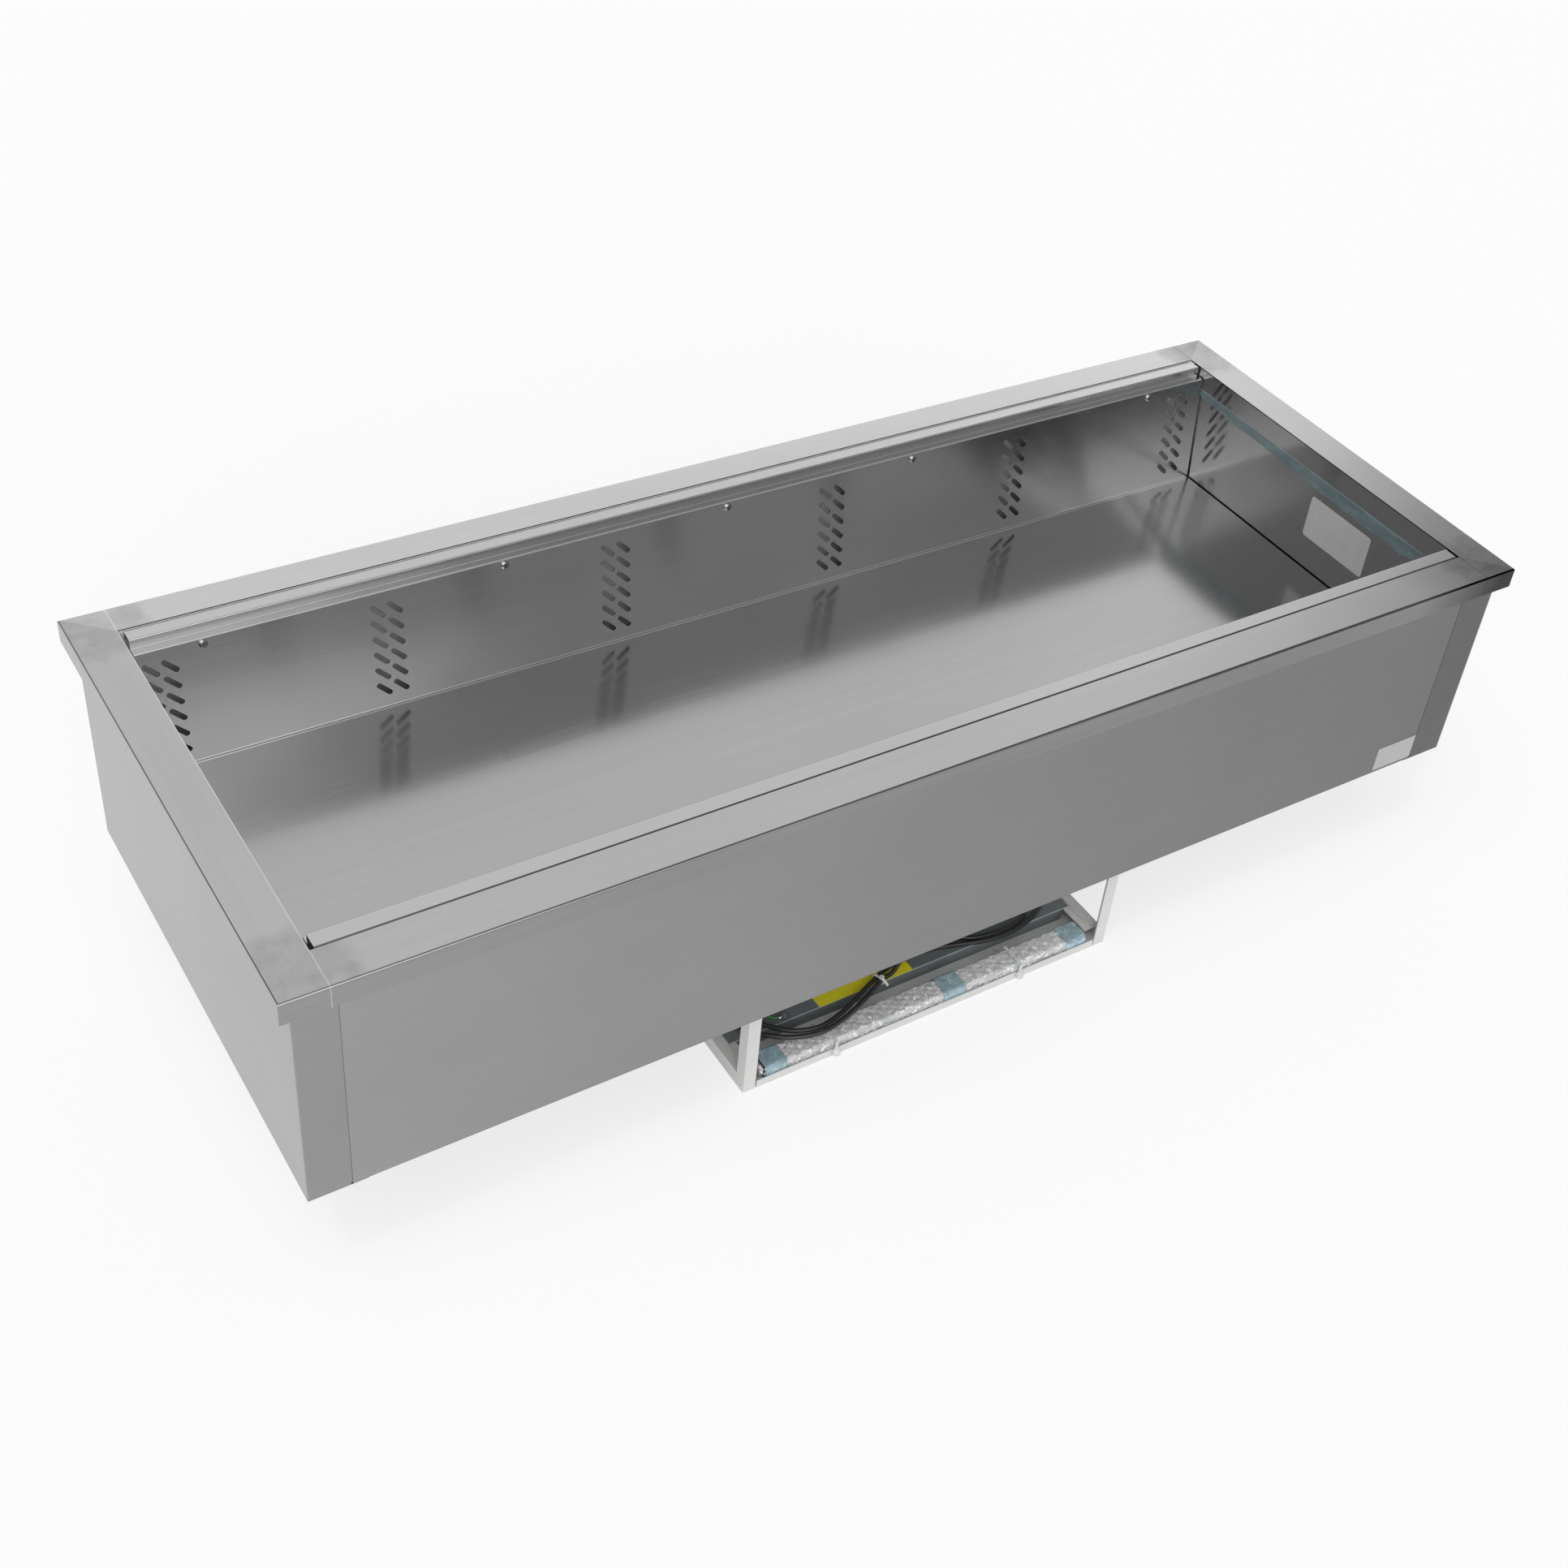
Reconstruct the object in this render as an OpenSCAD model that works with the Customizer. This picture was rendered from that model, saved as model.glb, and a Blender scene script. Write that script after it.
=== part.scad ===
// Refrigerated drop-in well for five food pans, on a frame with its cooling unit.
// Millimetres, +Z up. X runs along the length and -Y is the front.
// The origin is on the floor, under the middle of the rim.

/* [Rim] */
// Length of the rim, left to right
rim_length = 1770; // [1700:10:2100]
// Depth of the rim, front to back
rim_depth = 690; // [680:5:760]
// Width of the rim strips at the left and right
rim_side_w = 55; // [50:1:65]
// Width of the rim strip at the front
rim_front_w = 56; // [50:1:60]
// Width of the rim strip at the back
rim_back_w = 47; // [44:1:60]
// Height of the skirt round the rim
skirt_h = 30; // [20:1:45]
// Width of the edge turned in under the skirt
hem_w = 9; // [5:1:11]
// Sheet thickness of the rim
rim_sheet = 1.5; // [1:0.1:2]
// Outside radius of the bend between the rim and its skirt
rim_bend = 2.5; // [2.1:0.1:5]

/* [Casing] */
// Height of the insulated body, from its underside to the top of the rim
body_h = 328; // [320:1:380]
// Sheet thickness of the casing
casing_sheet = 1; // [0.8:0.1:1.5]
// Inset of the casing from the ends of the rim
casing_inset_side = 14.5; // [13:0.5:18]
// Inset of the casing from the front of the rim
casing_inset_front = 13; // [12:0.5:16]
// Inset of the casing from the back of the rim
casing_inset_back = 12; // [11.5:0.5:14]
// Width of the left end panel where it wraps round the corners
wrap_left_w = 49; // [30:1:70]
// Width of the right end panel where it wraps round the corners
wrap_right_w = 60; // [30:1:70]
// Width of the joggled strip behind each seam
joggle_w = 15; // [10:1:25]
// Gap of the seam beside the left corner wrap
seam_left = 2.5; // [0.5:0.1:3]
// Gap of the seam beside the right corner wrap
seam_right = 0.8; // [0.5:0.1:3]
// Width of the end panels' edges turned in under the body
end_tab_w = 70; // [30:1:90]
// Width of the front and back panels' edges turned in under the body
panel_tab_w = 20; // [15:1:28]

/* [Tank] */
// Depth of the tank below the top of the rim
tank_depth = 285; // [275:1:300]
// Sheet thickness of the tank
tank_sheet = 1; // [0.8:0.1:1.5]

/* [Air ducts] */
// Depth of the pan floor below the top of the rim
well_depth = 185; // [170:1:190]
// Sheet thickness of the duct panels
duct_sheet = 1.2; // [0.8:0.1:1.5]
// Inside radius of the bends in the duct panels
bend_in = 0.8; // [0.4:0.1:1.5]
// Gap between a duct panel's top and the tank wall
duct_gap = 2.5; // [1.5:0.5:4]
// Level of the duct tops below the top of the rim
ledge_level = 1.3; // [0:0.1:4]
// Width of the back duct's top
ledge_back_w = 19.5; // [15:0.5:25]
// Width of the front duct's top
ledge_front_w = 22; // [15:0.5:25]
// Drop from a duct's top to the step that carries the food pans
step_drop = 14; // [10:1:20]
// Width of the step that carries the food pans
step_w = 11.5; // [8:0.5:14]
// How far a slotted wall leans in from top to bottom
wall_lean = 16.5; // [5:0.5:22]
// Width of the foot flange that carries the pan floor
foot_w = 18; // [12:1:25]
// Height of the edge turned down behind a duct's top
duct_hem_h = 12; // [6:1:20]
// Gap between the left end of the ducts and the tank wall
duct_gap_left = 6; // [2:0.5:8]
// Gap between the right end of the ducts and the tank wall
duct_gap_right = 2.5; // [2:0.5:8]

/* [Slots] */
// Length of an air slot
slot_l = 26; // [16:1:28]
// Width of an air slot
slot_w = 7; // [4:0.5:9]
// Slope of an air slot, in degrees
slot_angle = 45; // [30:5:60]
// Spacing of the slots in a group, both ways
slot_pitch = 23; // [20:1:26]
// Slots in one column of a group
slot_rows = 6; // [3:1:6]
// Drop from the step to the first row of slots
slot_top = 27; // [20:1:32]
// Middle of the first slot group from the left end of the duct
group_first = 28; // [26:1:60]
// Middle of the last slot group from the right end of the duct
group_last = 45.5; // [30:0.5:70]
// Spacing of the two inner groups on each side
group_pitch = 320; // [300:5:340]
// Spacing of the two groups nearest the middle
group_mid_pitch = 341; // [300:1:360]
// Place of the middle of the inner groups
group_centre = -24.5; // [-40:0.5:40]

/* [Duct screws] */
// First screw from the left end of a duct
screw_first = 81; // [70:1:120]
// Last screw from the right end of a duct
screw_last = 107.5; // [80:0.5:140]
// Places of the inner screws along the length
screw_inner = [-353, -24, 281]; // [-400:1:400]
// Drop of the screws below the step
screw_drop = 8; // [7:0.5:10]
// Diameter of the screw thread
screw_d = 5; // [4:0.5:5]
// Diameter of the screw head
screw_head_d = 11; // [9:0.5:12]
// Height of the screw head
screw_head_h = 3; // [2:0.5:4]
// Length of the screw thread
screw_l = 10; // [8:1:12]
// Width of the brackets that hold the duct panels
bracket_w = 30; // [20:1:40]

/* [Pan floor] */
// Sheet thickness of the lift-out floor
floor_sheet = 1.2; // [0.8:0.1:1.5]
// Height of the floor's edges turned down at both ends
floor_lip_h = 12; // [6:1:20]
// Clearance between the floor and the bends at the foot of the slotted walls
floor_clear = 0.2; // [0.1:0.1:1.2]

/* [Evaporator] */
// Length of the evaporator over its fins
evap_length = 1240; // [900:20:1240]
// Depth of the evaporator fins
evap_depth = 150; // [140:5:150]
// Height of the evaporator fins
evap_height = 80; // [76:1:84]
// Spacing of the fins
evap_pitch = 20; // [10:1:40]
// Thickness of a fin
fin_t = 0.8; // [0.5:0.1:1]
// Diameter of the evaporator's tubes
evap_tube_d = 10; // [8:0.5:12]
// Height of the fins above the tank's bottom
evap_lift = 6; // [4:1:8]
// Place of the middle of the fins, front to back
evap_y = 10; // [-10:1:20]

/* [Evaporator fans] */
// Width of a fan's square housing
fan_w = 92; // [80:2:92]
// Depth of a fan's housing
fan_d = 25; // [20:1:32]
// Spacing of the three fans
fan_pitch = 420; // [300:10:450]
// Clearance between the blades and the fan's duct
fan_clear = 1.5; // [1:0.5:3]
// Number of blades on a fan
fan_blades = 7; // [5:1:9]
// Place of the plate that carries the fans, front to back
bulkhead_y = 130; // [125:1:140]
// Height of the fans above the tank's bottom
fan_lift = 3; // [2:1:5]

/* [Drain] */
// Distance of the drain from the right wall of the tank
drain_in = 230; // [180:10:330]
// Outside diameter of the drain pipe
drain_d = 33.2; // [20:0.1:42]
// Bore of the drain pipe
drain_bore = 25; // [15:1:32]
// Length of the threaded outlet below the valve
drain_outlet_l = 20; // [15:1:25]
// Length of the valve's lever
lever_l = 80; // [60:5:85]

/* [Under-frame] */
// Clear height under the body
frame_h = 172; // [168:1:240]
// Length of the frame, left to right
frame_length = 590; // [586:1:700]
// Depth of the frame, front to back
frame_depth = 600; // [580:5:620]
// Leg width of the corner posts
post_w = 18; // [15:1:25]
// Thickness of the corner posts
post_t = 2; // [1.5:0.5:3]
// Size of the gusset at the top of each post
gusset = 20; // [10:1:30]
// Width of the side rails' top flange
rail_w = 15; // [12:1:16]
// Height of the side rails
rail_h = 22; // [20:1:30]
// Sheet thickness of the base tray
tray_sheet = 1.5; // [1:0.5:2]
// Height of the tray's lips at the front and back
tray_lip_h = 12; // [8:1:16]
// Width of the tray's side flanges, under the rails
tray_flange_w = 24; // [20:1:25]
// Gap between the tray's front lip and the posts
tray_notch = 2; // [1:0.5:4]

/* [Cooling unit] */
// Depth of the unit's base plate, front to back
unit_depth = 472; // [460:2:480]
// Sheet thickness of the unit's base plate
unit_sheet = 1.5; // [1:0.5:2]
// Diameter of the compressor's shell
comp_d = 150; // [136:2:156]
// Height of the compressor's shell
comp_h = 120; // [100:1:124]
// Place of the compressor along the length
comp_x = 120; // [110:1:130]
// Place of the compressor front to back
comp_y = 90; // [80:1:100]
// Width of the condenser coil
cond_w = 200; // [180:2:204]
// Height of the condenser coil
cond_h = 140; // [130:1:142]
// Depth of the condenser coil
cond_d = 55; // [50:1:58]
// Place of the middle of the condenser along the length
cond_x = -130; // [-134:1:-128]
// Place of the condenser's front face
cond_y = -190; // [-194:1:-186]
// Spacing of the condenser's fins
cond_pitch = 5; // [4:1:10]
// Diameter of the condenser fan
cond_fan_d = 124; // [110:1:126]
// Depth of the condenser fan's shroud
shroud_d = 30; // [26:1:36]

/* [Controls] */
// Width of the control box
box_w = 180; // [170:2:190]
// Height of the control box
box_h = 100; // [90:1:104]
// Depth of the control box
box_d = 100; // [90:1:110]
// Place of the left side of the control box
box_x = 70; // [64:1:76]
// Place of the control box's front
box_y = -225; // [-226:1:-220]
// Width of the controller's face
ctrl_w = 78; // [74:1:80]
// Height of the controller's face
ctrl_h = 36; // [34:1:38]

/* [Divider bars] */
// Length of the wrapped bundle
wrap_l = 532; // [500:2:532]
// Depth of the wrapped bundle
wrap_d = 35; // [34:1:36]
// Height of the wrapped bundle
wrap_h = 23; // [22.5:0.1:23.5]
// Thickness of the wrapping
wrap_t = 2; // [1.5:0.1:2.2]
// Thickness of the tape bands
tape_t = 0.4; // [0.2:0.1:0.6]

/* [Mains lead] */
// Diameter of the lead
lead_d = 6.6; // [6:0.1:7]

/* [Hidden] */

// Levels
rim_top = frame_h + body_h;
rim_under = rim_top - rim_sheet;
floor_top = rim_top - well_depth;
floor_under = floor_top - floor_sheet;
tank_floor = rim_top - tank_depth;
step_level = rim_top - ledge_level - step_drop;
body_under = frame_h + 2 * casing_sheet;
foam_floor = frame_h + 3 * casing_sheet;
// Casing faces
case_x = rim_length / 2 - casing_inset_side;
case_f = -rim_depth / 2 + casing_inset_front;
case_b = rim_depth / 2 - casing_inset_back;
// Inner faces of the tank
well_x = rim_length / 2 - rim_side_w;
well_f = -rim_depth / 2 + rim_front_w;
well_b = rim_depth / 2 - rim_back_w;
// Ends of the ducts and the floor
duct_x0 = -well_x + duct_gap_left;
duct_x1 = well_x - duct_gap_right;
duct_mid = (duct_x0 + duct_x1) / 2;
duct_len = duct_x1 - duct_x0;
// Small allowances
seat = 0.05;
cut = 1;
// Steps in a bend of sheet
bend_steps = 5;

// Sheet bent along a line of points: the points lie on its face, and the thickness to their right.
// Each bend is round, and its inside radius is bend_in
function seg_normal(p, i) = let (d = p[i + 1] - p[i]) [d[1], -d[0]] / norm(d);
function bend_arc(p, t, i, out) =
  let (a = seg_normal(p, i - 1), b = seg_normal(p, i), turn = acos(a * b),
       r = cross(a, b) < 0 ? -bend_in - t : bend_in,
       centre = p[i] - r * (a + b) / (1 + a * b))
  [for (j = [0 : bend_steps]) let (s = turn * j / bend_steps)
    centre + (r + out) * (sin(turn - s) * a + sin(s) * b) / sin(turn)];
function sheet_side(p, t, out) = let (last = len(p) - 1) concat(
  [p[0] + out * seg_normal(p, 0)],
  [for (i = [1 : last - 1]) each bend_arc(p, t, i, out)],
  [p[last] + out * seg_normal(p, last - 1)]);
module bent_sheet(p, t, length) {
  back = sheet_side(p, t, t);
  linear_extrude(height = length, center = true)
    polygon(concat(sheet_side(p, t, 0), [for (i = [len(back) - 1 : -1 : 0]) back[i]]));
}

// Box between two corners
module box(a, b) { translate(a) cube(b - a); }

// Cylinder along Y from y0 to y1
module rod_y(x, z, y0, y1, r, fn = 48) {
  translate([x, y1, z]) rotate([90, 0, 0]) cylinder(h = y1 - y0, r = r, $fn = fn);
}

// Rectangle with round corners, drawn exactly
module round_rect(w, h, r, fn = 32) {
  square([w - 2 * r, h], center = true);
  square([w, h - 2 * r], center = true);
  for (i = [-1, 1], j = [-1, 1])
    translate([i * (w / 2 - r), j * (h / 2 - r)]) circle(r = r, $fn = fn);
}

// Tube swept along a list of points, as rings of equal sides
function unit(v) = v / norm(v);
function tangent(p, i) =
  i == 0 ? unit(p[1] - p[0])
  : i == len(p) - 1 ? unit(p[i] - p[i - 1])
  : unit(unit(p[i + 1] - p[i]) + unit(p[i] - p[i - 1]));
function carry(u, t) = unit(u - (u * t) * t);
function frames(p, i = 0, u = [0, 0, 0]) =
  i == len(p) ? []
  : let (
      t = tangent(p, i),
      s = i == 0 ? (abs(t[2]) < 0.8 ? [0, 0, 1] : [1, 0, 0]) : u,
      v = carry(s, t)
    ) concat([v], frames(p, i + 1, v));
function ring(c, t, u, r, n) =
  let (w = cross(t, u)) [for (k = [0 : n - 1]) c + r * (cos(360 * k / n) * u + sin(360 * k / n) * w)];
module tube(p, r, n) {
  u = frames(p);
  pts = [for (i = [0 : len(p) - 1]) each ring(p[i], tangent(p, i), u[i], r, n)];
  m = len(p);
  sides = [for (i = [0 : m - 2], k = [0 : n - 1]) let (k2 = (k + 1) % n)
    each [[i * n + k, i * n + k2, (i + 1) * n + k], [i * n + k2, (i + 1) * n + k2, (i + 1) * n + k]]];
  ends = concat(
    [for (k = [1 : n - 2]) [0, k + 1, k]],
    [for (k = [1 : n - 2]) [(m - 1) * n, (m - 1) * n + k, (m - 1) * n + k + 1]]);
  polyhedron(points = pts, faces = [for (f = concat(sides, ends)) [f[0], f[2], f[1]]], convexity = 10);
}
// Smooth points through a route, a few to each leg
function leg(a, b, c, d, s) =
  0.5 * ((2 * b) + (c - a) * s + (2 * a - 5 * b + 4 * c - d) * s * s + (3 * b - a - 3 * c + d) * s * s * s);
function smooth(r, k) = concat(
  [for (i = [0 : len(r) - 2], j = [0 : k - 1])
    leg(r[max(i - 1, 0)], r[i], r[i + 1], r[min(i + 2, len(r) - 1)], j / k)],
  [r[len(r) - 1]]);

// Pipe run: straight legs between a route's points, with round bends
function bend(a, b, c, r, k) =
  let (u = unit(b - a), v = unit(c - b), turn = acos(u * v), d = r * tan(turn / 2), n = unit(v - u),
       centre = b + n * r / cos(turn / 2), w = unit(b - d * u - centre))
  [for (j = [0 : k]) centre + r * (cos(turn * j / k) * w + sin(turn * j / k) * u)];
function pipe_run(p, r, k = 5) = concat(
  [p[0]],
  [for (i = [1 : len(p) - 2]) each bend(p[i - 1], p[i], p[i + 1], r, k)],
  [p[len(p) - 1]]);

// Colours
steel = [0.66, 0.66, 0.66];
white = [0.88, 0.88, 0.87];
slate = [0.29, 0.32, 0.33];
black = [0.04, 0.04, 0.04];
copper = [0.72, 0.42, 0.26];
galvanised = [0.62, 0.64, 0.66];

// Rim: four strips, mitred at the corners. Strips 0 to 3 are front, right, back and left
rim_outer = [for (c = [[-1, -1], [1, -1], [1, 1], [-1, 1]]) [c[0] * rim_length / 2, c[1] * rim_depth / 2]];
rim_inner = [[-well_x, well_f], [well_x, well_f], [well_x, well_b], [-well_x, well_b]];
rim_widths = [rim_front_w, rim_side_w, rim_back_w, rim_side_w];
mitre_reach = 0.2;
module rim_profile(w) {
  translate([rim_bend, -rim_sheet]) square([w - rim_bend, rim_sheet]);
  translate([0, -skirt_h]) square([rim_sheet, skirt_h - rim_bend]);
  translate([0, -skirt_h]) square([hem_w, rim_sheet]);
  translate([rim_bend, -rim_bend]) intersection() {
    difference() {
      circle(r = rim_bend, $fn = 32);
      circle(r = rim_bend - rim_sheet, $fn = 32);
    }
    translate([-rim_bend, 0]) square(rim_bend);
  }
}
module rim_strip(i) {
  length = i % 2 == 0 ? rim_length : rim_depth;
  out = (i % 2 == 0 ? rim_depth : rim_length) / 2;
  j = (i + 1) % 4;
  a = rim_outer[i];
  b = rim_outer[j];
  c = rim_inner[j];
  d = rim_inner[i];
  color(steel) intersection() {
    rotate([0, 0, 90 * i]) translate([0, -out, rim_top]) rotate([90, 0, 90])
      linear_extrude(height = length, center = true) rim_profile(rim_widths[i]);
    translate([0, 0, frame_h]) linear_extrude(height = body_h + cut)
      polygon([a + mitre_reach * (a - d), b + mitre_reach * (b - c),
               c + mitre_reach * (c - b), d + mitre_reach * (d - a)]);
  }
}

// Casing: two end panels that wrap round the corners, a front, a back and a bottom
module corner_wrap(w) {
  s = casing_sheet;
  box([-case_x, case_f, frame_h], [-case_x + w, case_f + s, rim_under]);
  box([-case_x + w - s, case_f + s, body_under], [-case_x + w + joggle_w, case_f + 2 * s, rim_under]);
}
module casing_end(w) {
  s = casing_sheet;
  box([-case_x, case_f, frame_h], [-case_x + s, case_b, rim_under]);
  box([-case_x, case_f, frame_h], [-case_x + end_tab_w, case_b, frame_h + s]);
  corner_wrap(w);
  translate([0, case_f + case_b, 0]) mirror([0, 1, 0]) corner_wrap(w);
}
module casing_panel() {
  s = casing_sheet;
  x0 = -case_x + wrap_left_w + seam_left;
  x1 = case_x - wrap_right_w - seam_right;
  box([x0, case_f, frame_h + s], [x1, case_f + s, rim_under]);
  box([x0, case_f, frame_h + s], [x1, case_f + panel_tab_w, body_under]);
}
module casing_front() { color(steel) casing_panel(); }
module casing_back() { color(steel) translate([0, case_f + case_b, 0]) mirror([0, 1, 0]) casing_panel(); }
module casing_end_left() { color(steel) casing_end(wrap_left_w); }
module casing_end_right() { color(steel) mirror([1, 0, 0]) casing_end(wrap_right_w); }
module casing_bottom() {
  color(galvanised) difference() {
    box([-case_x + casing_sheet, case_f + 2 * casing_sheet, body_under],
        [case_x - casing_sheet, case_b - 2 * casing_sheet, foam_floor]);
    pipe_holes();
  }
}

// Holes through the body's bottom: the drain and the two refrigerant lines
drain_x = well_x - drain_in;
drain_y = -150;
hole_gap = 0.4;
suction_r = 5;
liquid_r = 3;
line_x = 240;
suction_y = -95;
liquid_y = -78;
module pipe_holes() {
  translate([drain_x, drain_y, frame_h - cut]) cylinder(h = body_h, r = drain_d / 2 + hole_gap, $fn = 64);
  translate([line_x, suction_y, frame_h - cut]) cylinder(h = body_h, r = suction_r + hole_gap, $fn = 32);
  translate([line_x, liquid_y, frame_h - cut]) cylinder(h = body_h, r = liquid_r + hole_gap, $fn = 32);
}

module foam_core() {
  color([0.9, 0.82, 0.55]) difference() {
    box([-case_x + casing_sheet, case_f + 2 * casing_sheet, foam_floor],
        [case_x - casing_sheet, case_b - 2 * casing_sheet, rim_under]);
    box([-well_x - tank_sheet, well_f - tank_sheet, tank_floor - tank_sheet],
        [well_x + tank_sheet, well_b + tank_sheet, rim_top]);
    pipe_holes();
  }
}

module tank() {
  color(steel) difference() {
    box([-well_x - tank_sheet, well_f - tank_sheet, tank_floor - tank_sheet],
        [well_x + tank_sheet, well_b + tank_sheet, rim_under]);
    box([-well_x, well_f, tank_floor], [well_x, well_b, rim_top]);
    pipe_holes();
  }
}

// Duct panels, drawn as distance from the tank wall and height
wall_h = step_level - floor_under;
lean = atan(wall_lean / wall_h);
function wall_top_a(ledge) = duct_gap + ledge + step_w;
function wall_a(ledge, z) = wall_top_a(ledge) + wall_lean * (step_level - z) / wall_h;
function duct_points(ledge) = [
  [duct_gap, rim_top - ledge_level - duct_hem_h],
  [duct_gap, rim_top - ledge_level],
  [duct_gap + ledge, rim_top - ledge_level],
  [duct_gap + ledge, step_level],
  [wall_top_a(ledge), step_level],
  [wall_a(ledge, floor_under), floor_under],
  [wall_a(ledge, floor_under) + foot_w, floor_under]
];
group_x = [
  duct_x0 + group_first,
  group_centre - group_mid_pitch / 2 - group_pitch,
  group_centre - group_mid_pitch / 2,
  group_centre + group_mid_pitch / 2,
  group_centre + group_mid_pitch / 2 + group_pitch,
  duct_x1 - group_last
];
screw_x = concat([duct_x0 + screw_first], screw_inner, [duct_x1 - screw_last]);
screw_z = step_level - screw_drop;

// A duct stands against the front wall of the tank, facing back, or the other way round
module against_wall(back) {
  if (back) translate([0, well_b, 0]) mirror([0, 1, 0]) children();
  else translate([0, well_f, 0]) children();
}
module slot_shape() {
  square([slot_l - slot_w, slot_w], center = true);
  for (i = [-1, 1]) translate([i * (slot_l - slot_w) / 2, 0]) circle(r = slot_w / 2, $fn = 32);
}
module slot_cutters(ledge, turn) {
  for (g = group_x, side = [-1, 1], row = [0 : slot_rows - 1])
    translate([g + side * slot_pitch / 2, wall_top_a(ledge) + wall_lean + cut,
               step_level - slot_top - row * slot_pitch])
      rotate([90, 0, 0]) linear_extrude(height = wall_lean + 6) rotate(turn) slot_shape();
}
module at_screws(ledge) {
  for (x = screw_x) translate([x, wall_a(ledge, screw_z), screw_z]) rotate([lean - 90, 0, 0]) children();
}
module duct_panel(ledge, turn) {
  difference() {
    translate([duct_mid, 0, 0]) rotate([90, 0, 90]) bent_sheet(duct_points(ledge), duct_sheet, duct_len);
    slot_cutters(ledge, turn);
    at_screws(ledge) translate([0, 0, -6]) cylinder(h = 8, r = screw_d / 2 + 0.25, $fn = 32);
  }
}
module duct_back() { color(steel) against_wall(true) duct_panel(ledge_back_w, -slot_angle); }
module duct_front() { color(steel) against_wall(false) duct_panel(ledge_front_w, slot_angle); }

// Brackets welded to the tank, which the duct panels are screwed to
bracket_t = 2;
bracket_up = 4;
bracket_down = 12;
module bracket_row(ledge) {
  inner = (duct_sheet + bracket_t) / cos(lean);
  up = screw_z + bracket_up;
  low = screw_z - bracket_down;
  difference() {
    for (x = screw_x) translate([x, 0, 0]) rotate([90, 0, 90])
      bent_sheet([[bracket_t, up], [bracket_t, low],
                  [wall_a(ledge, low) - inner, low], [wall_a(ledge, up) - inner, up]],
                 bracket_t, bracket_w);
    at_screws(ledge) translate([0, 0, -screw_l]) cylinder(h = screw_l, r = screw_d / 2 + seat, $fn = 32);
  }
}
module duct_brackets() {
  color(galvanised) {
    against_wall(true) bracket_row(ledge_back_w);
    against_wall(false) bracket_row(ledge_front_w);
  }
}

// Pan-head screws with a cross recess
module pan_screw() {
  translate([0, 0, -screw_l]) cylinder(h = screw_l, r = screw_d / 2, $fn = 32);
  difference() {
    union() {
      cylinder(h = screw_head_h / 2, r = screw_head_d / 2, $fn = 48);
      translate([0, 0, screw_head_h / 2])
        cylinder(h = screw_head_h / 2, r1 = screw_head_d / 2, r2 = screw_head_d / 3, $fn = 48);
    }
    for (turn = [20, 110]) rotate(turn)
      translate([-screw_head_d / 4, -0.7, screw_head_h * 0.4]) cube([screw_head_d / 2, 1.4, screw_head_h]);
  }
}
module duct_screws() {
  color([0.8, 0.8, 0.8]) {
    against_wall(true) at_screws(ledge_back_w) pan_screw();
    against_wall(false) at_screws(ledge_front_w) pan_screw();
  }
}

// Lift-out floor, lying on the foot flanges of the two duct panels
pan_f = well_f + wall_a(ledge_front_w, floor_under) + bend_in + floor_clear;
pan_b = well_b - wall_a(ledge_back_w, floor_under) - bend_in - floor_clear;
lip_gap = 3;
module floor_pan() {
  lip_f = pan_f + foot_w + lip_gap;
  lip_b = pan_b - foot_w - lip_gap;
  color(steel) {
    box([duct_x0, pan_f, floor_under], [duct_x1, pan_b, floor_top]);
    box([duct_x0, lip_f, floor_under - floor_lip_h], [duct_x0 + floor_sheet, lip_b, floor_under]);
    box([duct_x1 - floor_sheet, lip_f, floor_under - floor_lip_h], [duct_x1, lip_b, floor_under]);
  }
}

// Label, sticker and what is left of the protective film
label_t = 0.2;
label_w = 127;
label_h = 68;
label_from_back = 370.5;
label_drop = 101;
sticker_w = 76;
sticker_h = 40;
sticker_lift = 5;
film_top = 33;
film_back = 34;
film_front = 528;
film_edge = [[34, 10], [52, 13], [93, 14], [128, 17], [178, 16], [218, 19], [263, 18], [308, 22],
             [358, 21], [403, 24], [448, 22], [488, 24], [518, 17], [528, 8]];
module rating_label() {
  color(white) translate([well_x - label_t, well_b - label_from_back, rim_top - label_drop])
    rotate([90, 0, 90]) linear_extrude(height = label_t) round_rect(label_w, label_h, 5);
}
module front_sticker() {
  x1 = case_x - wrap_right_w - seam_right;
  z0 = frame_h + sticker_lift;
  color(white) box([x1 - sticker_w, case_f - label_t, z0], [x1, case_f, z0 + sticker_h]);
}
module film_strip() {
  z = rim_top - film_top;
  color([0.45, 0.62, 0.7, 0.6]) translate([well_x - label_t, 0, 0]) rotate([90, 0, 90])
    linear_extrude(height = label_t)
      polygon(concat([[well_b - film_front, z], [well_b - film_back, z]],
                     [for (p = film_edge) [well_b - p[0], z - p[1]]]));
}

// Plate across the tank that carries the three fans
fan_x = [-fan_pitch, 0, fan_pitch];
fan_z = tank_floor + fan_lift + fan_w / 2;
fan_r = fan_w / 2 - 3.5;
fan_y = bulkhead_y + duct_sheet;
bulkhead_end = 6;
module fan_bulkhead() {
  color(galvanised) difference() {
    union() {
      box([duct_x0 + bulkhead_end, bulkhead_y, tank_floor],
          [duct_x1 - bulkhead_end, fan_y, floor_under - 0.3]);
      box([duct_x0 + bulkhead_end, bulkhead_y - foot_w, tank_floor],
          [duct_x1 - bulkhead_end, fan_y, tank_floor + duct_sheet]);
    }
    for (x = fan_x) rod_y(x, fan_z, bulkhead_y - cut, fan_y + cut, fan_r);
  }
}

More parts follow.
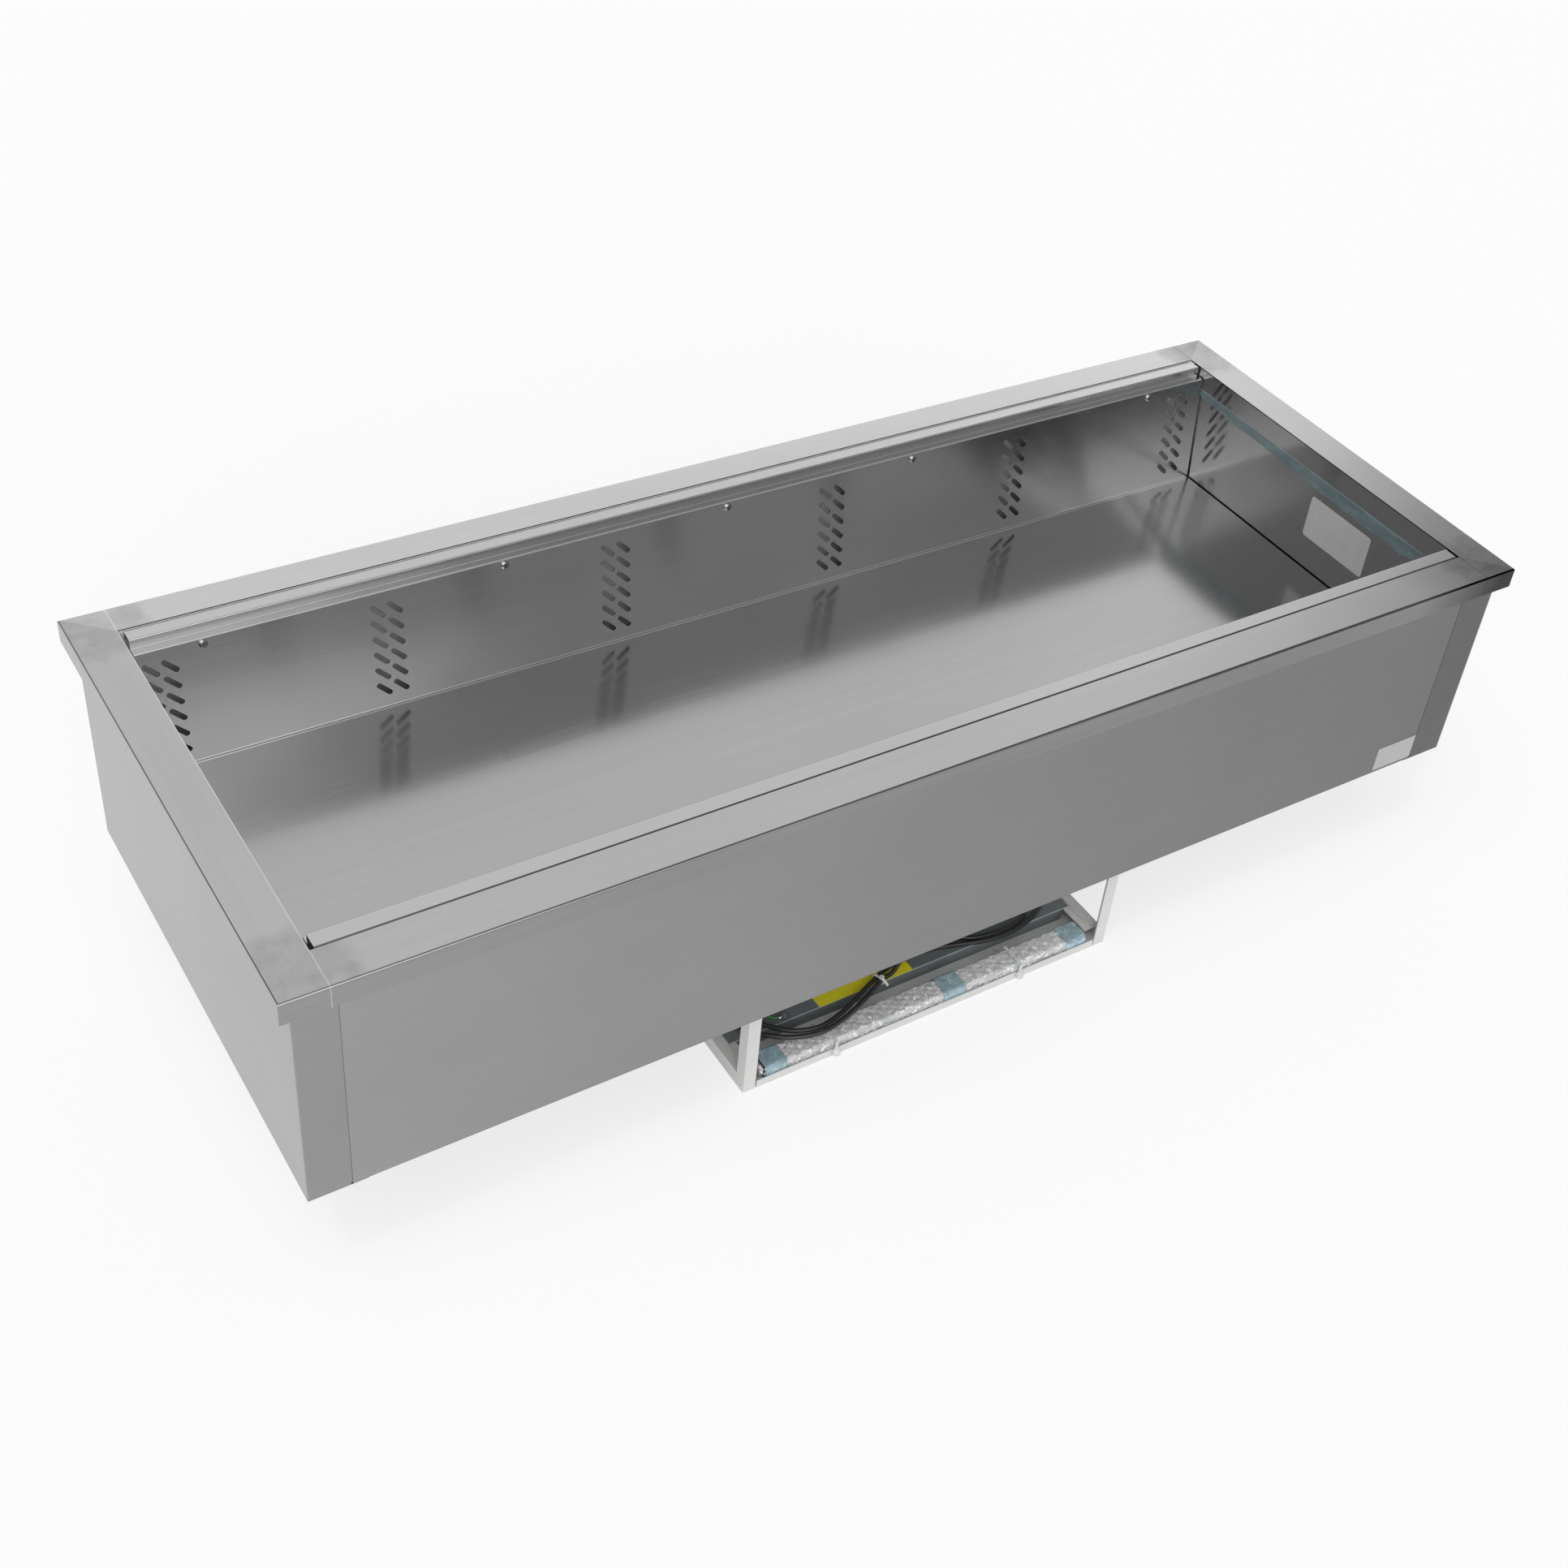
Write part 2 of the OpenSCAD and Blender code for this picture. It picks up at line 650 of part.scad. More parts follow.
// Compact fan: a square housing with a hub on four struts, and a bladed rotor on a pin
hub_r = 16;
pin_r = 2;
stator_l = 6;
module fan_housing() {
  y1 = fan_y + fan_d;
  difference() {
    box([-fan_w / 2, fan_y, -fan_w / 2], [fan_w / 2, y1, fan_w / 2]);
    rod_y(0, 0, fan_y - cut, y1 + cut, fan_r, 64);
    for (i = [-1, 1], j = [-1, 1])
      rod_y(i * (fan_w / 2 - 5), j * (fan_w / 2 - 5), fan_y - cut, y1 + cut, 2.2, 24);
  }
  difference() {
    union() {
      rod_y(0, 0, y1 - stator_l, y1, hub_r);
      for (a = [45 : 90 : 315]) rotate([0, a, 0])
        box([hub_r - 1, y1 - 3, -2], [fan_r + 0.5, y1, 2]);
    }
    rod_y(0, 0, y1 - stator_l - cut, y1 - 1.5, pin_r + seat, 32);
  }
}
module fan_frames() { color(black) for (x = fan_x) translate([x, 0, fan_z]) fan_housing(); }
module fan_rotor(i) {
  y1 = fan_y + fan_d - stator_l - 1;
  y0 = fan_y + 1;
  tip = fan_r - fan_clear - 1;
  chord = 19;
  color([0.12, 0.12, 0.12]) translate([fan_x[i], 0, fan_z]) {
    rod_y(0, 0, y0, y1, hub_r - 0.5);
    rod_y(0, 0, y1 - cut, y1 + stator_l - cut, pin_r, 32);
    for (k = [0 : fan_blades - 1]) rotate([0, k * 360 / fan_blades, 0])
      translate([hub_r - 2, (y0 + y1) / 2, 0]) rotate([50, 0, 0])
        translate([0, -chord / 2, -0.8]) cube([tip - hub_r + 2, chord, 1.6]);
  }
}

// Evaporator: fins in a row, and one tube that runs to and fro through them
evap_x1 = evap_length / 2;
evap_rows = [0, 1];
evap_cols = [0 : 3];
evap_col_pitch = evap_depth / 4;
evap_row_pitch = evap_height / 2;
evap_tube_r = evap_tube_d / 2;
evap_stub = 14;
function evap_ty(c) = evap_y + (c - 1.5) * evap_col_pitch;
function evap_tz(r) = tank_floor + evap_lift + (r + 0.5) * evap_row_pitch;
module evap_plate(thick, z0) {
  rotate([90, 0, 90]) linear_extrude(height = thick, center = true) difference() {
    translate([evap_y - evap_depth / 2, z0])
      square([evap_depth, tank_floor + evap_lift + evap_height - z0]);
    for (c = evap_cols, r = evap_rows)
      translate([evap_ty(c), evap_tz(r)]) circle(r = evap_tube_r + seat, $fn = 32);
  }
}
module evaporator_fins() {
  count = floor(evap_length / evap_pitch);
  color([0.75, 0.77, 0.79]) {
    for (i = [1 : count - 1]) translate([-evap_x1 + i * evap_length / count, 0, 0])
      evap_plate(fin_t, tank_floor + evap_lift);
    for (side = [-1, 1]) translate([side * evap_x1, 0, 0]) evap_plate(2, tank_floor);
  }
}
module u_bend(r_bend, r) {
  rotate_extrude(angle = 180, $fn = 64) translate([r_bend, 0]) circle(r = r, $fn = 32);
}
module evaporator_tubes() {
  end = evap_x1 + evap_stub;
  mid = (evap_tz(0) + evap_tz(1)) / 2;
  color(copper) {
    for (c = evap_cols, r = evap_rows) translate([-end, evap_ty(c), evap_tz(r)])
      rotate([0, 90, 0]) cylinder(h = 2 * end, r = evap_tube_r, $fn = 32);
    for (r = evap_rows, c = [0, 2]) translate([-end, evap_ty(c + 0.5), evap_tz(r)])
      rotate([0, 0, 90]) u_bend(evap_col_pitch / 2, evap_tube_r);
    for (r = evap_rows) translate([end, evap_ty(1.5), evap_tz(r)])
      rotate([0, 0, -90]) u_bend(evap_col_pitch / 2, evap_tube_r);
    translate([end, evap_ty(3), mid]) rotate([90, 0, 0]) rotate([0, 0, -90])
      u_bend(evap_row_pitch / 2, evap_tube_r);
  }
}

// Drain: a flanged pipe through the body, and a ball valve under it
drain_r = drain_d / 2;
spigot_low = body_under - 36;
collar_top = body_under - 22;
collar_floor = spigot_low - 0.5;
ball_z = body_under - 56;
ball_r = 16.5;
valve_low = body_under - 76;
valve_r = 23;
stem_r = 5;
lever_y = drain_y - valve_r - 12;
module drain_spigot() {
  color([0.8, 0.8, 0.8]) difference() {
    translate([drain_x, drain_y, 0]) {
      translate([0, 0, tank_floor]) cylinder(h = 2, r = drain_r + 11, $fn = 64);
      translate([0, 0, spigot_low]) cylinder(h = tank_floor + 1 - spigot_low, r = drain_r, $fn = 64);
      translate([0, 0, body_under - 8]) cylinder(h = 8, r = drain_r + 8, $fn = 6);
    }
    translate([drain_x, drain_y, spigot_low - cut]) cylinder(h = body_h, r = drain_bore / 2, $fn = 48);
  }
}
module drain_valve() {
  color([0.75, 0.62, 0.35]) translate([drain_x, drain_y, 0]) difference() {
    union() {
      translate([0, 0, valve_low]) cylinder(h = collar_top - valve_low, r = valve_r, $fn = 64);
      translate([0, 0, valve_low - drain_outlet_l])
        cylinder(h = drain_outlet_l + cut, r = drain_r, $fn = 64);
      rod_y(0, ball_z, -valve_r - 8, 0, stem_r + 4);
    }
    translate([0, 0, collar_floor]) cylinder(h = 20, r = drain_r + seat, $fn = 64);
    translate([0, 0, valve_low - drain_outlet_l - cut]) cylinder(h = 60, r = drain_bore / 2, $fn = 48);
    translate([0, 0, ball_z]) sphere(r = ball_r + 0.3, $fn = 64);
    rod_y(0, ball_z, -valve_r - 9, 0, stem_r + seat);
  }
}
module drain_lever() {
  color([0.75, 0.15, 0.12]) translate([drain_x, 0, ball_z]) {
    difference() {
      translate([0, drain_y, 0]) sphere(r = ball_r, $fn = 64);
      translate([-ball_r - cut, drain_y, 0]) rotate([0, 90, 0])
        cylinder(h = 2 * ball_r + 2 * cut, r = drain_bore / 2 - 2, $fn = 48);
    }
    rod_y(0, 0, lever_y - 1, drain_y - ball_r + 3, stem_r);
    box([-10, lever_y - 3, -8], [lever_l, lever_y, 8]);
  }
}

// Under-frame: on each side two corner posts and a rail, welded into one
frame_x = frame_length / 2;
frame_y = frame_depth / 2;
tray_x = frame_x - post_t;
tray_y = frame_y - 15;
tray_top = rail_h - post_t;
module corner_post() {
  box([-frame_x, -frame_y, 0], [-frame_x + post_w, -frame_y + post_t, body_under]);
  difference() {
    box([-frame_x, -frame_y, 0], [-frame_x + post_t, -frame_y + post_w, body_under]);
    translate([-frame_x - cut, -frame_y + 7, 9]) rotate([0, 90, 0]) cylinder(h = 5, r = 1.2, $fn = 24);
  }
  box([-frame_x, -frame_y, body_under - post_t], [-frame_x + 2 * post_w, -frame_y + 2 * post_w, body_under]);
  translate([-frame_x, -frame_y + post_w, body_under - post_t]) rotate([90, 0, 90])
    linear_extrude(height = post_t)
      polygon([[-cut, 0.5], [-cut, -gusset], [0, -gusset], [gusset, 0], [gusset, 0.5]]);
}
module frame_side() {
  corner_post();
  mirror([0, 1, 0]) corner_post();
  box([-frame_x, -frame_y + post_w - 0.5, 0], [-tray_x, frame_y - post_w + 0.5, rail_h]);
  box([-frame_x, -frame_y + post_w, tray_top], [-frame_x + rail_w, frame_y - post_w, rail_h]);
}
module frame_left() { color(white) frame_side(); }
module frame_right() { color(white) mirror([1, 0, 0]) frame_side(); }

// Base tray, between the rails. Its front lip is cut away where the bundle is tied down
lip_x = frame_x - post_w - tray_notch;
tie_x = [-155, 145];
tie_w = 5;
tray_edge = 3;
module base_tray() {
  t = tray_sheet;
  color(white) {
    box([-tray_x, -frame_y + post_t, 0], [tray_x, frame_y - post_t, t]);
    for (side = [-1, 1]) {
      left = side < 0 ? -tray_x : tray_x - t;
      flange = side < 0 ? -tray_x : tray_x - tray_flange_w;
      lip = side < 0 ? -frame_y : frame_y - t;
      edge = side < 0 ? -frame_y : frame_y - tray_edge;
      box([left, -tray_y, 0], [left + t, tray_y, tray_top]);
      box([flange, -tray_y, tray_top - t], [flange + tray_flange_w, tray_y, tray_top]);
      difference() {
        union() {
          box([-lip_x, lip, 0], [lip_x, lip + t, tray_lip_h]);
          box([-lip_x, edge, 0], [lip_x, edge + tray_edge, t]);
        }
        for (x = tie_x)
          box([x - tie_w, -frame_y - cut, t], [x + tie_w, -frame_y + t + cut, tray_lip_h + cut]);
      }
    }
  }
}

// Cooling unit's base plate, lying on the tray's side flanges
unit_top = tray_top + unit_sheet;
unit_x = frame_x - rail_w - 2;
unit_lip_x = tray_x - tray_flange_w - 2;
unit_y = unit_depth / 2;
stud = [-192, -230];
stud_r = 2.5;
module unit_base() {
  t = unit_sheet;
  color(slate) {
    box([-unit_x, -unit_y, tray_top], [unit_x, unit_y, unit_top]);
    box([-unit_lip_x, -unit_y, tray_sheet], [unit_lip_x, -unit_y + t, unit_top]);
    box([-unit_lip_x, unit_y - t, tray_sheet], [unit_lip_x, unit_y, unit_top]);
    translate([stud[0], stud[1], unit_top]) cylinder(h = 6, r = stud_r, $fn = 32);
  }
}
unit_sticker_x = -141;
unit_sticker_w = 150;
unit_sticker_d = 45;
module unit_sticker() {
  color([0.82, 0.76, 0.05]) box([unit_sticker_x, -unit_y, unit_top],
    [unit_sticker_x + unit_sticker_w, -unit_y + unit_sticker_d, unit_top + label_t]);
}

// Compressor: a welded shell on a foot plate, with a stub for each pipe
mount_h = 10;
foot_t = 3;
comp_r = comp_d / 2;
comp_z = unit_top + mount_h + foot_t;
foot_reach = comp_r + 5;
foot_hole = comp_r - 7;
shell_round = 35;
stub_l = 15;
suction_z = comp_z + 70;
discharge_z = comp_z + 85;
discharge_r = 4;
module compressor() {
  color(black) translate([comp_x, comp_y, 0]) {
    translate([0, 0, comp_z]) rotate_extrude($fn = 96) {
      square([comp_r - shell_round, comp_h]);
      translate([0, shell_round]) square([comp_r, comp_h - 2 * shell_round]);
      for (z = [shell_round, comp_h - shell_round]) intersection() {
        translate([comp_r - shell_round, z]) circle(r = shell_round, $fn = 64);
        square([comp_r, comp_h]);
      }
    }
    translate([0, 0, comp_z + comp_h / 2]) cylinder(h = 6, r = comp_r + 2, $fn = 96);
    difference() {
      translate([-foot_reach, -foot_reach, comp_z - foot_t])
        cube([2 * foot_reach, 2 * foot_reach, foot_t]);
      for (i = [-1, 1], j = [-1, 1]) translate([i * foot_hole, j * foot_hole, comp_z - foot_t - cut])
        cylinder(h = foot_t + 2 * cut, r = 8, $fn = 32);
    }
    translate([comp_r - 5, 0, suction_z]) rotate([0, 90, 0])
      cylinder(h = stub_l + 5, r = suction_r + 1, $fn = 32);
    translate([-comp_r - stub_l, 0, discharge_z]) rotate([0, 90, 0])
      cylinder(h = stub_l + 5, r = discharge_r + 1, $fn = 32);
  }
}
module compressor_cover() {
  color([0.15, 0.15, 0.16]) difference() {
    translate([comp_x - 30, comp_y - comp_r - 20, comp_z + 8]) cube([60, 45, 46]);
    translate([comp_x, comp_y, comp_z]) cylinder(h = comp_h, r = comp_r + 0.1, $fn = 96);
  }
}
module compressor_mounts() {
  color(black) for (i = [-1, 1], j = [-1, 1])
    translate([comp_x + i * foot_hole, comp_y + j * foot_hole, unit_top]) {
      cylinder(h = mount_h, r = 11, $fn = 32);
      cylinder(h = mount_h + foot_t, r = 8 - seat, $fn = 32);
    }
}

// Condenser: upright fins and one tube, in two columns of rows
cond_tube_r = 4.8;
cond_rows = 5;
cond_row_pitch = cond_h / cond_rows;
cond_col_pitch = cond_d / 2;
cond_stub = 6;
cond_end_t = 1.5;
cond_left = cond_x - cond_w / 2;
cond_right = cond_x + cond_w / 2;
function cond_tz(r) = unit_top + (r + 0.5) * cond_row_pitch;
function cond_ty(c) = cond_y + (c + 0.5) * cond_col_pitch;
module cond_plate(thick) {
  rotate([90, 0, 90]) linear_extrude(height = thick) difference() {
    translate([cond_y, unit_top]) square([cond_d, cond_h]);
    for (c = [0, 1], r = [0 : cond_rows - 1])
      translate([cond_ty(c), cond_tz(r)]) circle(r = cond_tube_r + seat, $fn = 32);
  }
}
module condenser_fins() {
  count = floor(cond_w / cond_pitch);
  color([0.7, 0.72, 0.74]) {
    for (i = [1 : count - 1]) translate([cond_left + i * cond_w / count, 0, 0]) cond_plate(fin_t);
    translate([cond_left, 0, 0]) cond_plate(cond_end_t);
    translate([cond_right - cond_end_t, 0, 0]) cond_plate(cond_end_t);
  }
}
module condenser_tubes() {
  length = cond_w + 2 * cond_stub;
  color(copper) {
    for (c = [0, 1], r = [0 : cond_rows - 1]) translate([cond_left - cond_stub, cond_ty(c), cond_tz(r)])
      rotate([0, 90, 0]) cylinder(h = length, r = cond_tube_r, $fn = 32);
    for (c = [0, 1], r = [1, 3]) translate([cond_left - cond_stub, cond_ty(c), cond_tz(r + 0.5)])
      rotate([90, 0, 0]) rotate([0, 0, 90]) u_bend(cond_row_pitch / 2, cond_tube_r);
    for (c = [0, 1], r = [0, 2]) translate([cond_right + cond_stub, cond_ty(c), cond_tz(r + 0.5)])
      rotate([90, 0, 0]) rotate([0, 0, -90]) u_bend(cond_row_pitch / 2, cond_tube_r);
    translate([cond_left - cond_stub, cond_ty(0.5), cond_tz(0)])
      rotate([0, 0, 90]) u_bend(cond_col_pitch / 2, cond_tube_r);
  }
}

// Condenser fan: a shroud behind the fins, a motor on a bracket and blades on its shaft
shroud_y = cond_y + cond_d;
cond_fan_z = unit_top + cond_h / 2;
cond_fan_r = cond_fan_d / 2;
shaft_r = 3;
motor_y = shroud_y + shroud_d + 8;
motor_l = 46;
motor_r = 28;
shaft_in = 18;
motor_post = [36, 20];
motor_foot = [60, 28, 2];
motor_post_y = motor_y + 12;
motor_foot_y = motor_y + 8;
cond_hub = [14, 20];
cond_blades = 5;
cond_chord = 26;
cond_blade_t = 1.2;
module condenser_shroud() {
  color(galvanised) difference() {
    box([cond_left, shroud_y, unit_top], [cond_right, shroud_y + shroud_d, unit_top + cond_h]);
    box([cond_left + 1, shroud_y - cut, unit_top + 1],
        [cond_right - 1, shroud_y + shroud_d - 1, unit_top + cond_h - 1]);
    rod_y(cond_x, cond_fan_z, shroud_y, shroud_y + shroud_d + cut, cond_fan_r + 2, 96);
  }
}
module condenser_motor() {
  color(black) difference() {
    union() {
      rod_y(cond_x, cond_fan_z, motor_y, motor_y + motor_l, motor_r, 64);
      box([cond_x - motor_post[0] / 2, motor_post_y, unit_top],
          [cond_x + motor_post[0] / 2, motor_post_y + motor_post[1], cond_fan_z]);
      box([cond_x - motor_foot[0] / 2, motor_foot_y, unit_top],
          [cond_x + motor_foot[0] / 2, motor_foot_y + motor_foot[1], unit_top + motor_foot[2]]);
    }
    rod_y(cond_x, cond_fan_z, motor_y - cut, motor_y + shaft_in + 1, shaft_r + seat, 32);
  }
}
module condenser_fan() {
  y1 = motor_y - 4;
  y0 = y1 - cond_hub[1];
  root = cond_hub[0] - 4;
  blade = [cond_fan_r - 4 - root, cond_chord, cond_blade_t];
  color([0.8, 0.8, 0.8]) translate([cond_x, 0, cond_fan_z]) {
    rod_y(0, 0, y0, y1, cond_hub[0]);
    rod_y(0, 0, y1 - cut, motor_y + shaft_in, shaft_r, 32);
    for (k = [0 : cond_blades - 1]) rotate([0, k * 360 / cond_blades, 0])
      translate([root, (y0 + y1) / 2, 0]) rotate([60, 0, 0])
        translate([0, -cond_chord / 2, -cond_blade_t / 2]) cube(blade);
  }
}

// Filter drier, lying along X in front of the compressor
drier = [30, -60, 50];
drier_l = 75;
drier_r = 12;
drier_cone = 10;
module filter_drier() {
  r = liquid_r + 0.6;
  color(copper) translate(drier) rotate([0, 90, 0]) {
    translate([0, 0, drier_cone]) cylinder(h = drier_l - 2 * drier_cone, r = drier_r, $fn = 48);
    cylinder(h = drier_cone, r1 = r, r2 = drier_r, $fn = 48);
    translate([0, 0, drier_l - drier_cone]) cylinder(h = drier_cone, r1 = drier_r, r2 = r, $fn = 48);
    for (z = [-stub_l, drier_l - 0.5]) translate([0, 0, z]) cylinder(h = stub_l + 0.5, r = r, $fn = 32);
  }
}

// Refrigerant lines: suction, liquid, discharge and condenser outlet
evap_end = evap_x1 + evap_stub;
suction_bend = 12;
liquid_bend = 10;
line_z = tank_floor + suction_bend + 1;
turn_z = frame_h - 25;
pipe_x = cond_right + cond_stub + 28;
suction_route = [
  [evap_end, evap_ty(0), evap_tz(1)], [evap_end + 30, evap_ty(0), evap_tz(1)],
  [evap_end + 30, suction_y, line_z],
  [line_x, suction_y, line_z], [line_x, suction_y, turn_z], [line_x, suction_y + 35, suction_z],
  [line_x, comp_y, suction_z], [comp_x + comp_r + stub_l, comp_y, suction_z]
];
liquid_route = [
  [evap_end, evap_ty(0), evap_tz(0)], [evap_end + 16, evap_ty(0), evap_tz(0)],
  [evap_end + 16, liquid_y, line_z - 1], [line_x, liquid_y, line_z - 1], [line_x, liquid_y, turn_z],
  [line_x - 40, liquid_y, turn_z - 30], [drier[0] + drier_l + 2 * stub_l + 20, drier[1], drier[2]],
  [drier[0] + drier_l + stub_l, drier[1], drier[2]]
];
discharge_route = [
  [comp_x - comp_r - stub_l, comp_y, discharge_z], [pipe_x, comp_y, discharge_z],
  [pipe_x, comp_y - 40, cond_tz(4)], [pipe_x, cond_ty(1), cond_tz(4)],
  [cond_right + cond_stub, cond_ty(1), cond_tz(4)]
];
outlet_route = [
  [cond_right + cond_stub, cond_ty(0), cond_tz(4)], [pipe_x + 12, cond_ty(0), cond_tz(4)],
  [pipe_x + 12, drier[1] - 60, drier[2] + 20], [drier[0] - stub_l - 30, drier[1], drier[2]],
  [drier[0] - stub_l, drier[1], drier[2]]
];
module refrigerant_lines() {
  color(copper) {
    tube(pipe_run(suction_route, suction_bend), suction_r, 8);
    tube(pipe_run(liquid_route, liquid_bend), liquid_r, 8);
    tube(pipe_run(discharge_route, suction_bend), discharge_r, 8);
    tube(pipe_run(outlet_route, liquid_bend - 1), liquid_r, 8);
  }
}

// Control box hung under the body, with a socket for the rocker switch in its front
box_low = body_under - box_h;
box_t = 1.5;
ctrl_x = box_x + 55;
ctrl_z = box_low + box_h - 34;
ctrl_l = 50;
rocker_x = box_x + 138;
rocker_y = box_y + 5;
rocker_z = ctrl_z;
rocker_w = 20;
rocker_r = 11.6;
rocker_gap = 0.4;
rocker_pin = 1.5;
rocker_pin_l = 3;
gland_y = -175;
gland_z = 100;
gland_r = 8;
module rod_x(x0, x1, y, z, r, fn = 48) {
  translate([x0, y, z]) rotate([0, 90, 0]) cylinder(h = x1 - x0, r = r, $fn = fn);
}
module control_box() {
  half = rocker_w / 2 + rocker_gap;
  color([0.78, 0.78, 0.76]) difference() {
    union() {
      difference() {
        box([box_x, box_y, box_low], [box_x + box_w, box_y + box_d, body_under]);
        box([box_x + box_t, box_y + box_t, box_low + box_t],
            [box_x + box_w - box_t, box_y + box_d - box_t, body_under + cut]);
      }
      box([rocker_x - half - 4, box_y, rocker_z - 16], [rocker_x + half + 4, box_y + 20, rocker_z + 16]);
    }
    box([ctrl_x - 35.5, box_y - cut, ctrl_z - 14.5], [ctrl_x + 35.5, box_y + box_t + cut, ctrl_z + 14.5]);
    rod_x(rocker_x - half, rocker_x + half, rocker_y, rocker_z, rocker_r + rocker_gap, 96);
    rod_x(rocker_x - half - rocker_pin_l - 0.3, rocker_x + half + rocker_pin_l + 0.3,
          rocker_y, rocker_z, rocker_pin + seat, 32);
    rod_x(box_x - cut, box_x + box_t + cut, gland_y, gland_z, gland_r + seat);
  }
}
module power_rocker() {
  color([0.05, 0.35, 0.12]) translate([rocker_x, rocker_y, rocker_z]) {
    rotate([-8, 0, 0]) intersection() {
      rod_x(-rocker_w / 2, rocker_w / 2, 0, 0, rocker_r, 96);
      rotate([90, 0, 90]) linear_extrude(height = rocker_w + 2, center = true)
        polygon([[-9, 12], [-7, 0], [-9, -12], [4, -12], [4, 12]]);
    }
    rod_x(-rocker_w / 2 - rocker_pin_l, rocker_w / 2 + rocker_pin_l, 0, 0, rocker_pin, 32);
  }
}

// Controller: a bezel with a window and three keys, clipped into the box's front
bezel_t = 3;
key_w = 8;
key_h = 6;
key_gap = 0.3;
key_pitch = 10;
key_dx = 29;
key_out = 1;
key_t = 3;
key_depth = 5;
module key_block(i, grow, y0, y1) {
  x = ctrl_x + key_dx;
  z = ctrl_z + i * key_pitch;
  box([x - key_w / 2 - grow, y0, z - key_h / 2 - grow], [x + key_w / 2 + grow, y1, z + key_h / 2 + grow]);
}
module controller() {
  face = box_y - bezel_t;
  color([0.1, 0.1, 0.11]) difference() {
    union() {
      box([ctrl_x - ctrl_w / 2, face, ctrl_z - ctrl_h / 2],
          [ctrl_x + ctrl_w / 2, box_y, ctrl_z + ctrl_h / 2]);
      box([ctrl_x - 35.3, box_y - 0.5, ctrl_z - 14.3], [ctrl_x + 35.3, box_y + ctrl_l, ctrl_z + 14.3]);
    }
    box([ctrl_x - 34, face - cut, ctrl_z - 11], [ctrl_x + 20, face + 0.8, ctrl_z + 11]);
    for (i = [-1 : 1]) key_block(i, key_gap, face - cut, face + key_depth);
  }
}
module key(i) {
  face = box_y - bezel_t;
  color([0.6, 0.6, 0.62]) key_block(i, 0, face - key_out, face - key_out + key_t);
}

// Gland in the box's left side, where the lead comes out
gland_end = box_x - 18;
module mains_gland() {
  color(black) {
    rod_x(box_x - 6, box_x + 10, gland_y, gland_z, gland_r);
    translate([box_x - 6, gland_y, gland_z]) rotate([0, 90, 0]) cylinder(h = 6, r = 12, $fn = 6);
    rod_x(box_x - 16, box_x - 6, gland_y, gland_z, 10);
    rod_x(gland_end, box_x - 16, gland_y, gland_z, 6);
    translate([box_x + box_t, gland_y, gland_z]) rotate([0, 90, 0]) cylinder(h = 5, r = 12, $fn = 6);
  }
}

// Mains lead: out of the gland, along the front of the unit and back doubled, then into the coil
lead_r = lead_d / 2;
coil_x = 160;
coil_y = -138;
coil_r = 46;
coil_step = 7.2;
coil_turn = 1530;
coil_z = unit_top + lead_r + 0.4;
plug_r = 18.5;
plug_z = unit_top + plug_r + 0.3;
lead_route = [
  [gland_end, gland_y, gland_z], [44, -175, 100], [36, -175, 100], [17, -190, 85], [-4, -222, 46],
  [-22, -233, 31], [-45, -238, 28], [-85, -257, 28], [-128, -274, 30], [-167, -281, 31], [-205, -270, 29.5],
  [-234, -247, 27], [-252, -222, 25.5], [-255, -204, 25.5], [-245, -194, 25.5], [-234, -201, 25.5],
  [-228, -226, 26], [-202, -258, 29], [-167, -272, 31], [-131, -265.5, 30], [-90, -248.5, 28],
  [-48, -230.5, 28], [-14, -219, 26], [30, -216, 25.5], [60, -220, 25.5], [88, -228, 25.5],
  [125, -239, 25.5], [165, -243, 25.5], [204, -236, 25.5], [236, -220, 25.5], [249, -205, 25.5],
  [246, -193, 25.5], [235, -191, 25.5], [222, -204, 25.5], [203, -226, 25.5], [165, -234.5, 25.5],
  [128, -231, 25.5], [105, -222, 25.5], [93, -208, 25.5], [94, -194, 25.5], [107, -185, 25.3],
  [126, coil_y - coil_r, coil_z], [140, coil_y - coil_r, coil_z],
  [coil_x - lead_d, coil_y - coil_r, coil_z]
];
module mains_lead() { color(black) tube(smooth(lead_route, 2), lead_r, 8); }

// Coil: two turns winding in, a climb where they reverse, and two turns winding out above
function coil_radius(a) = coil_r - coil_step * min(a, coil_turn - a) / 360;
function coil_height(a) =
  coil_z + coil_step * min(max((a - coil_turn / 2 + 90) / 180, 0), 1)
  + (plug_z - coil_z - coil_step) * max((a - coil_turn + 180) / 180, 0);
function coil_point(a) =
  [coil_x + coil_radius(a) * sin(a), coil_y - coil_radius(a) * cos(a), coil_height(a)];
coil_points = concat(
  [[coil_x - lead_d, coil_y - coil_r, coil_z]],
  [for (a = [0 : 15 : coil_turn]) coil_point(a)],
  [[coil_x + coil_r, coil_y + lead_d, plug_z]]);
coil_gap = min([for (i = [0 : len(coil_points) - 1], j = [i + 12 : len(coil_points) - 1])
  norm(coil_points[i] - coil_points[j])]) - lead_d;
module lead_coil() {
  echo(coil_gap = coil_gap);
  color(black) tube(coil_points, lead_r, 6);
}

// Plug with two round pins, lying behind the coil
plug_y = coil_y + lead_d;
module plug() {
  color(black) difference() {
    translate([coil_x + coil_r, 0, plug_z]) {
      rod_y(0, 0, plug_y, plug_y + 26, 5);
      rod_y(0, 0, plug_y + 24, plug_y + 48, 13);
      rod_y(0, 0, plug_y + 47, plug_y + 57, plug_r);
      for (i = [-1, 1]) rod_y(i * 9.5, 0, plug_y + 56, plug_y + 76, 2.4, 32);
    }
  }
}

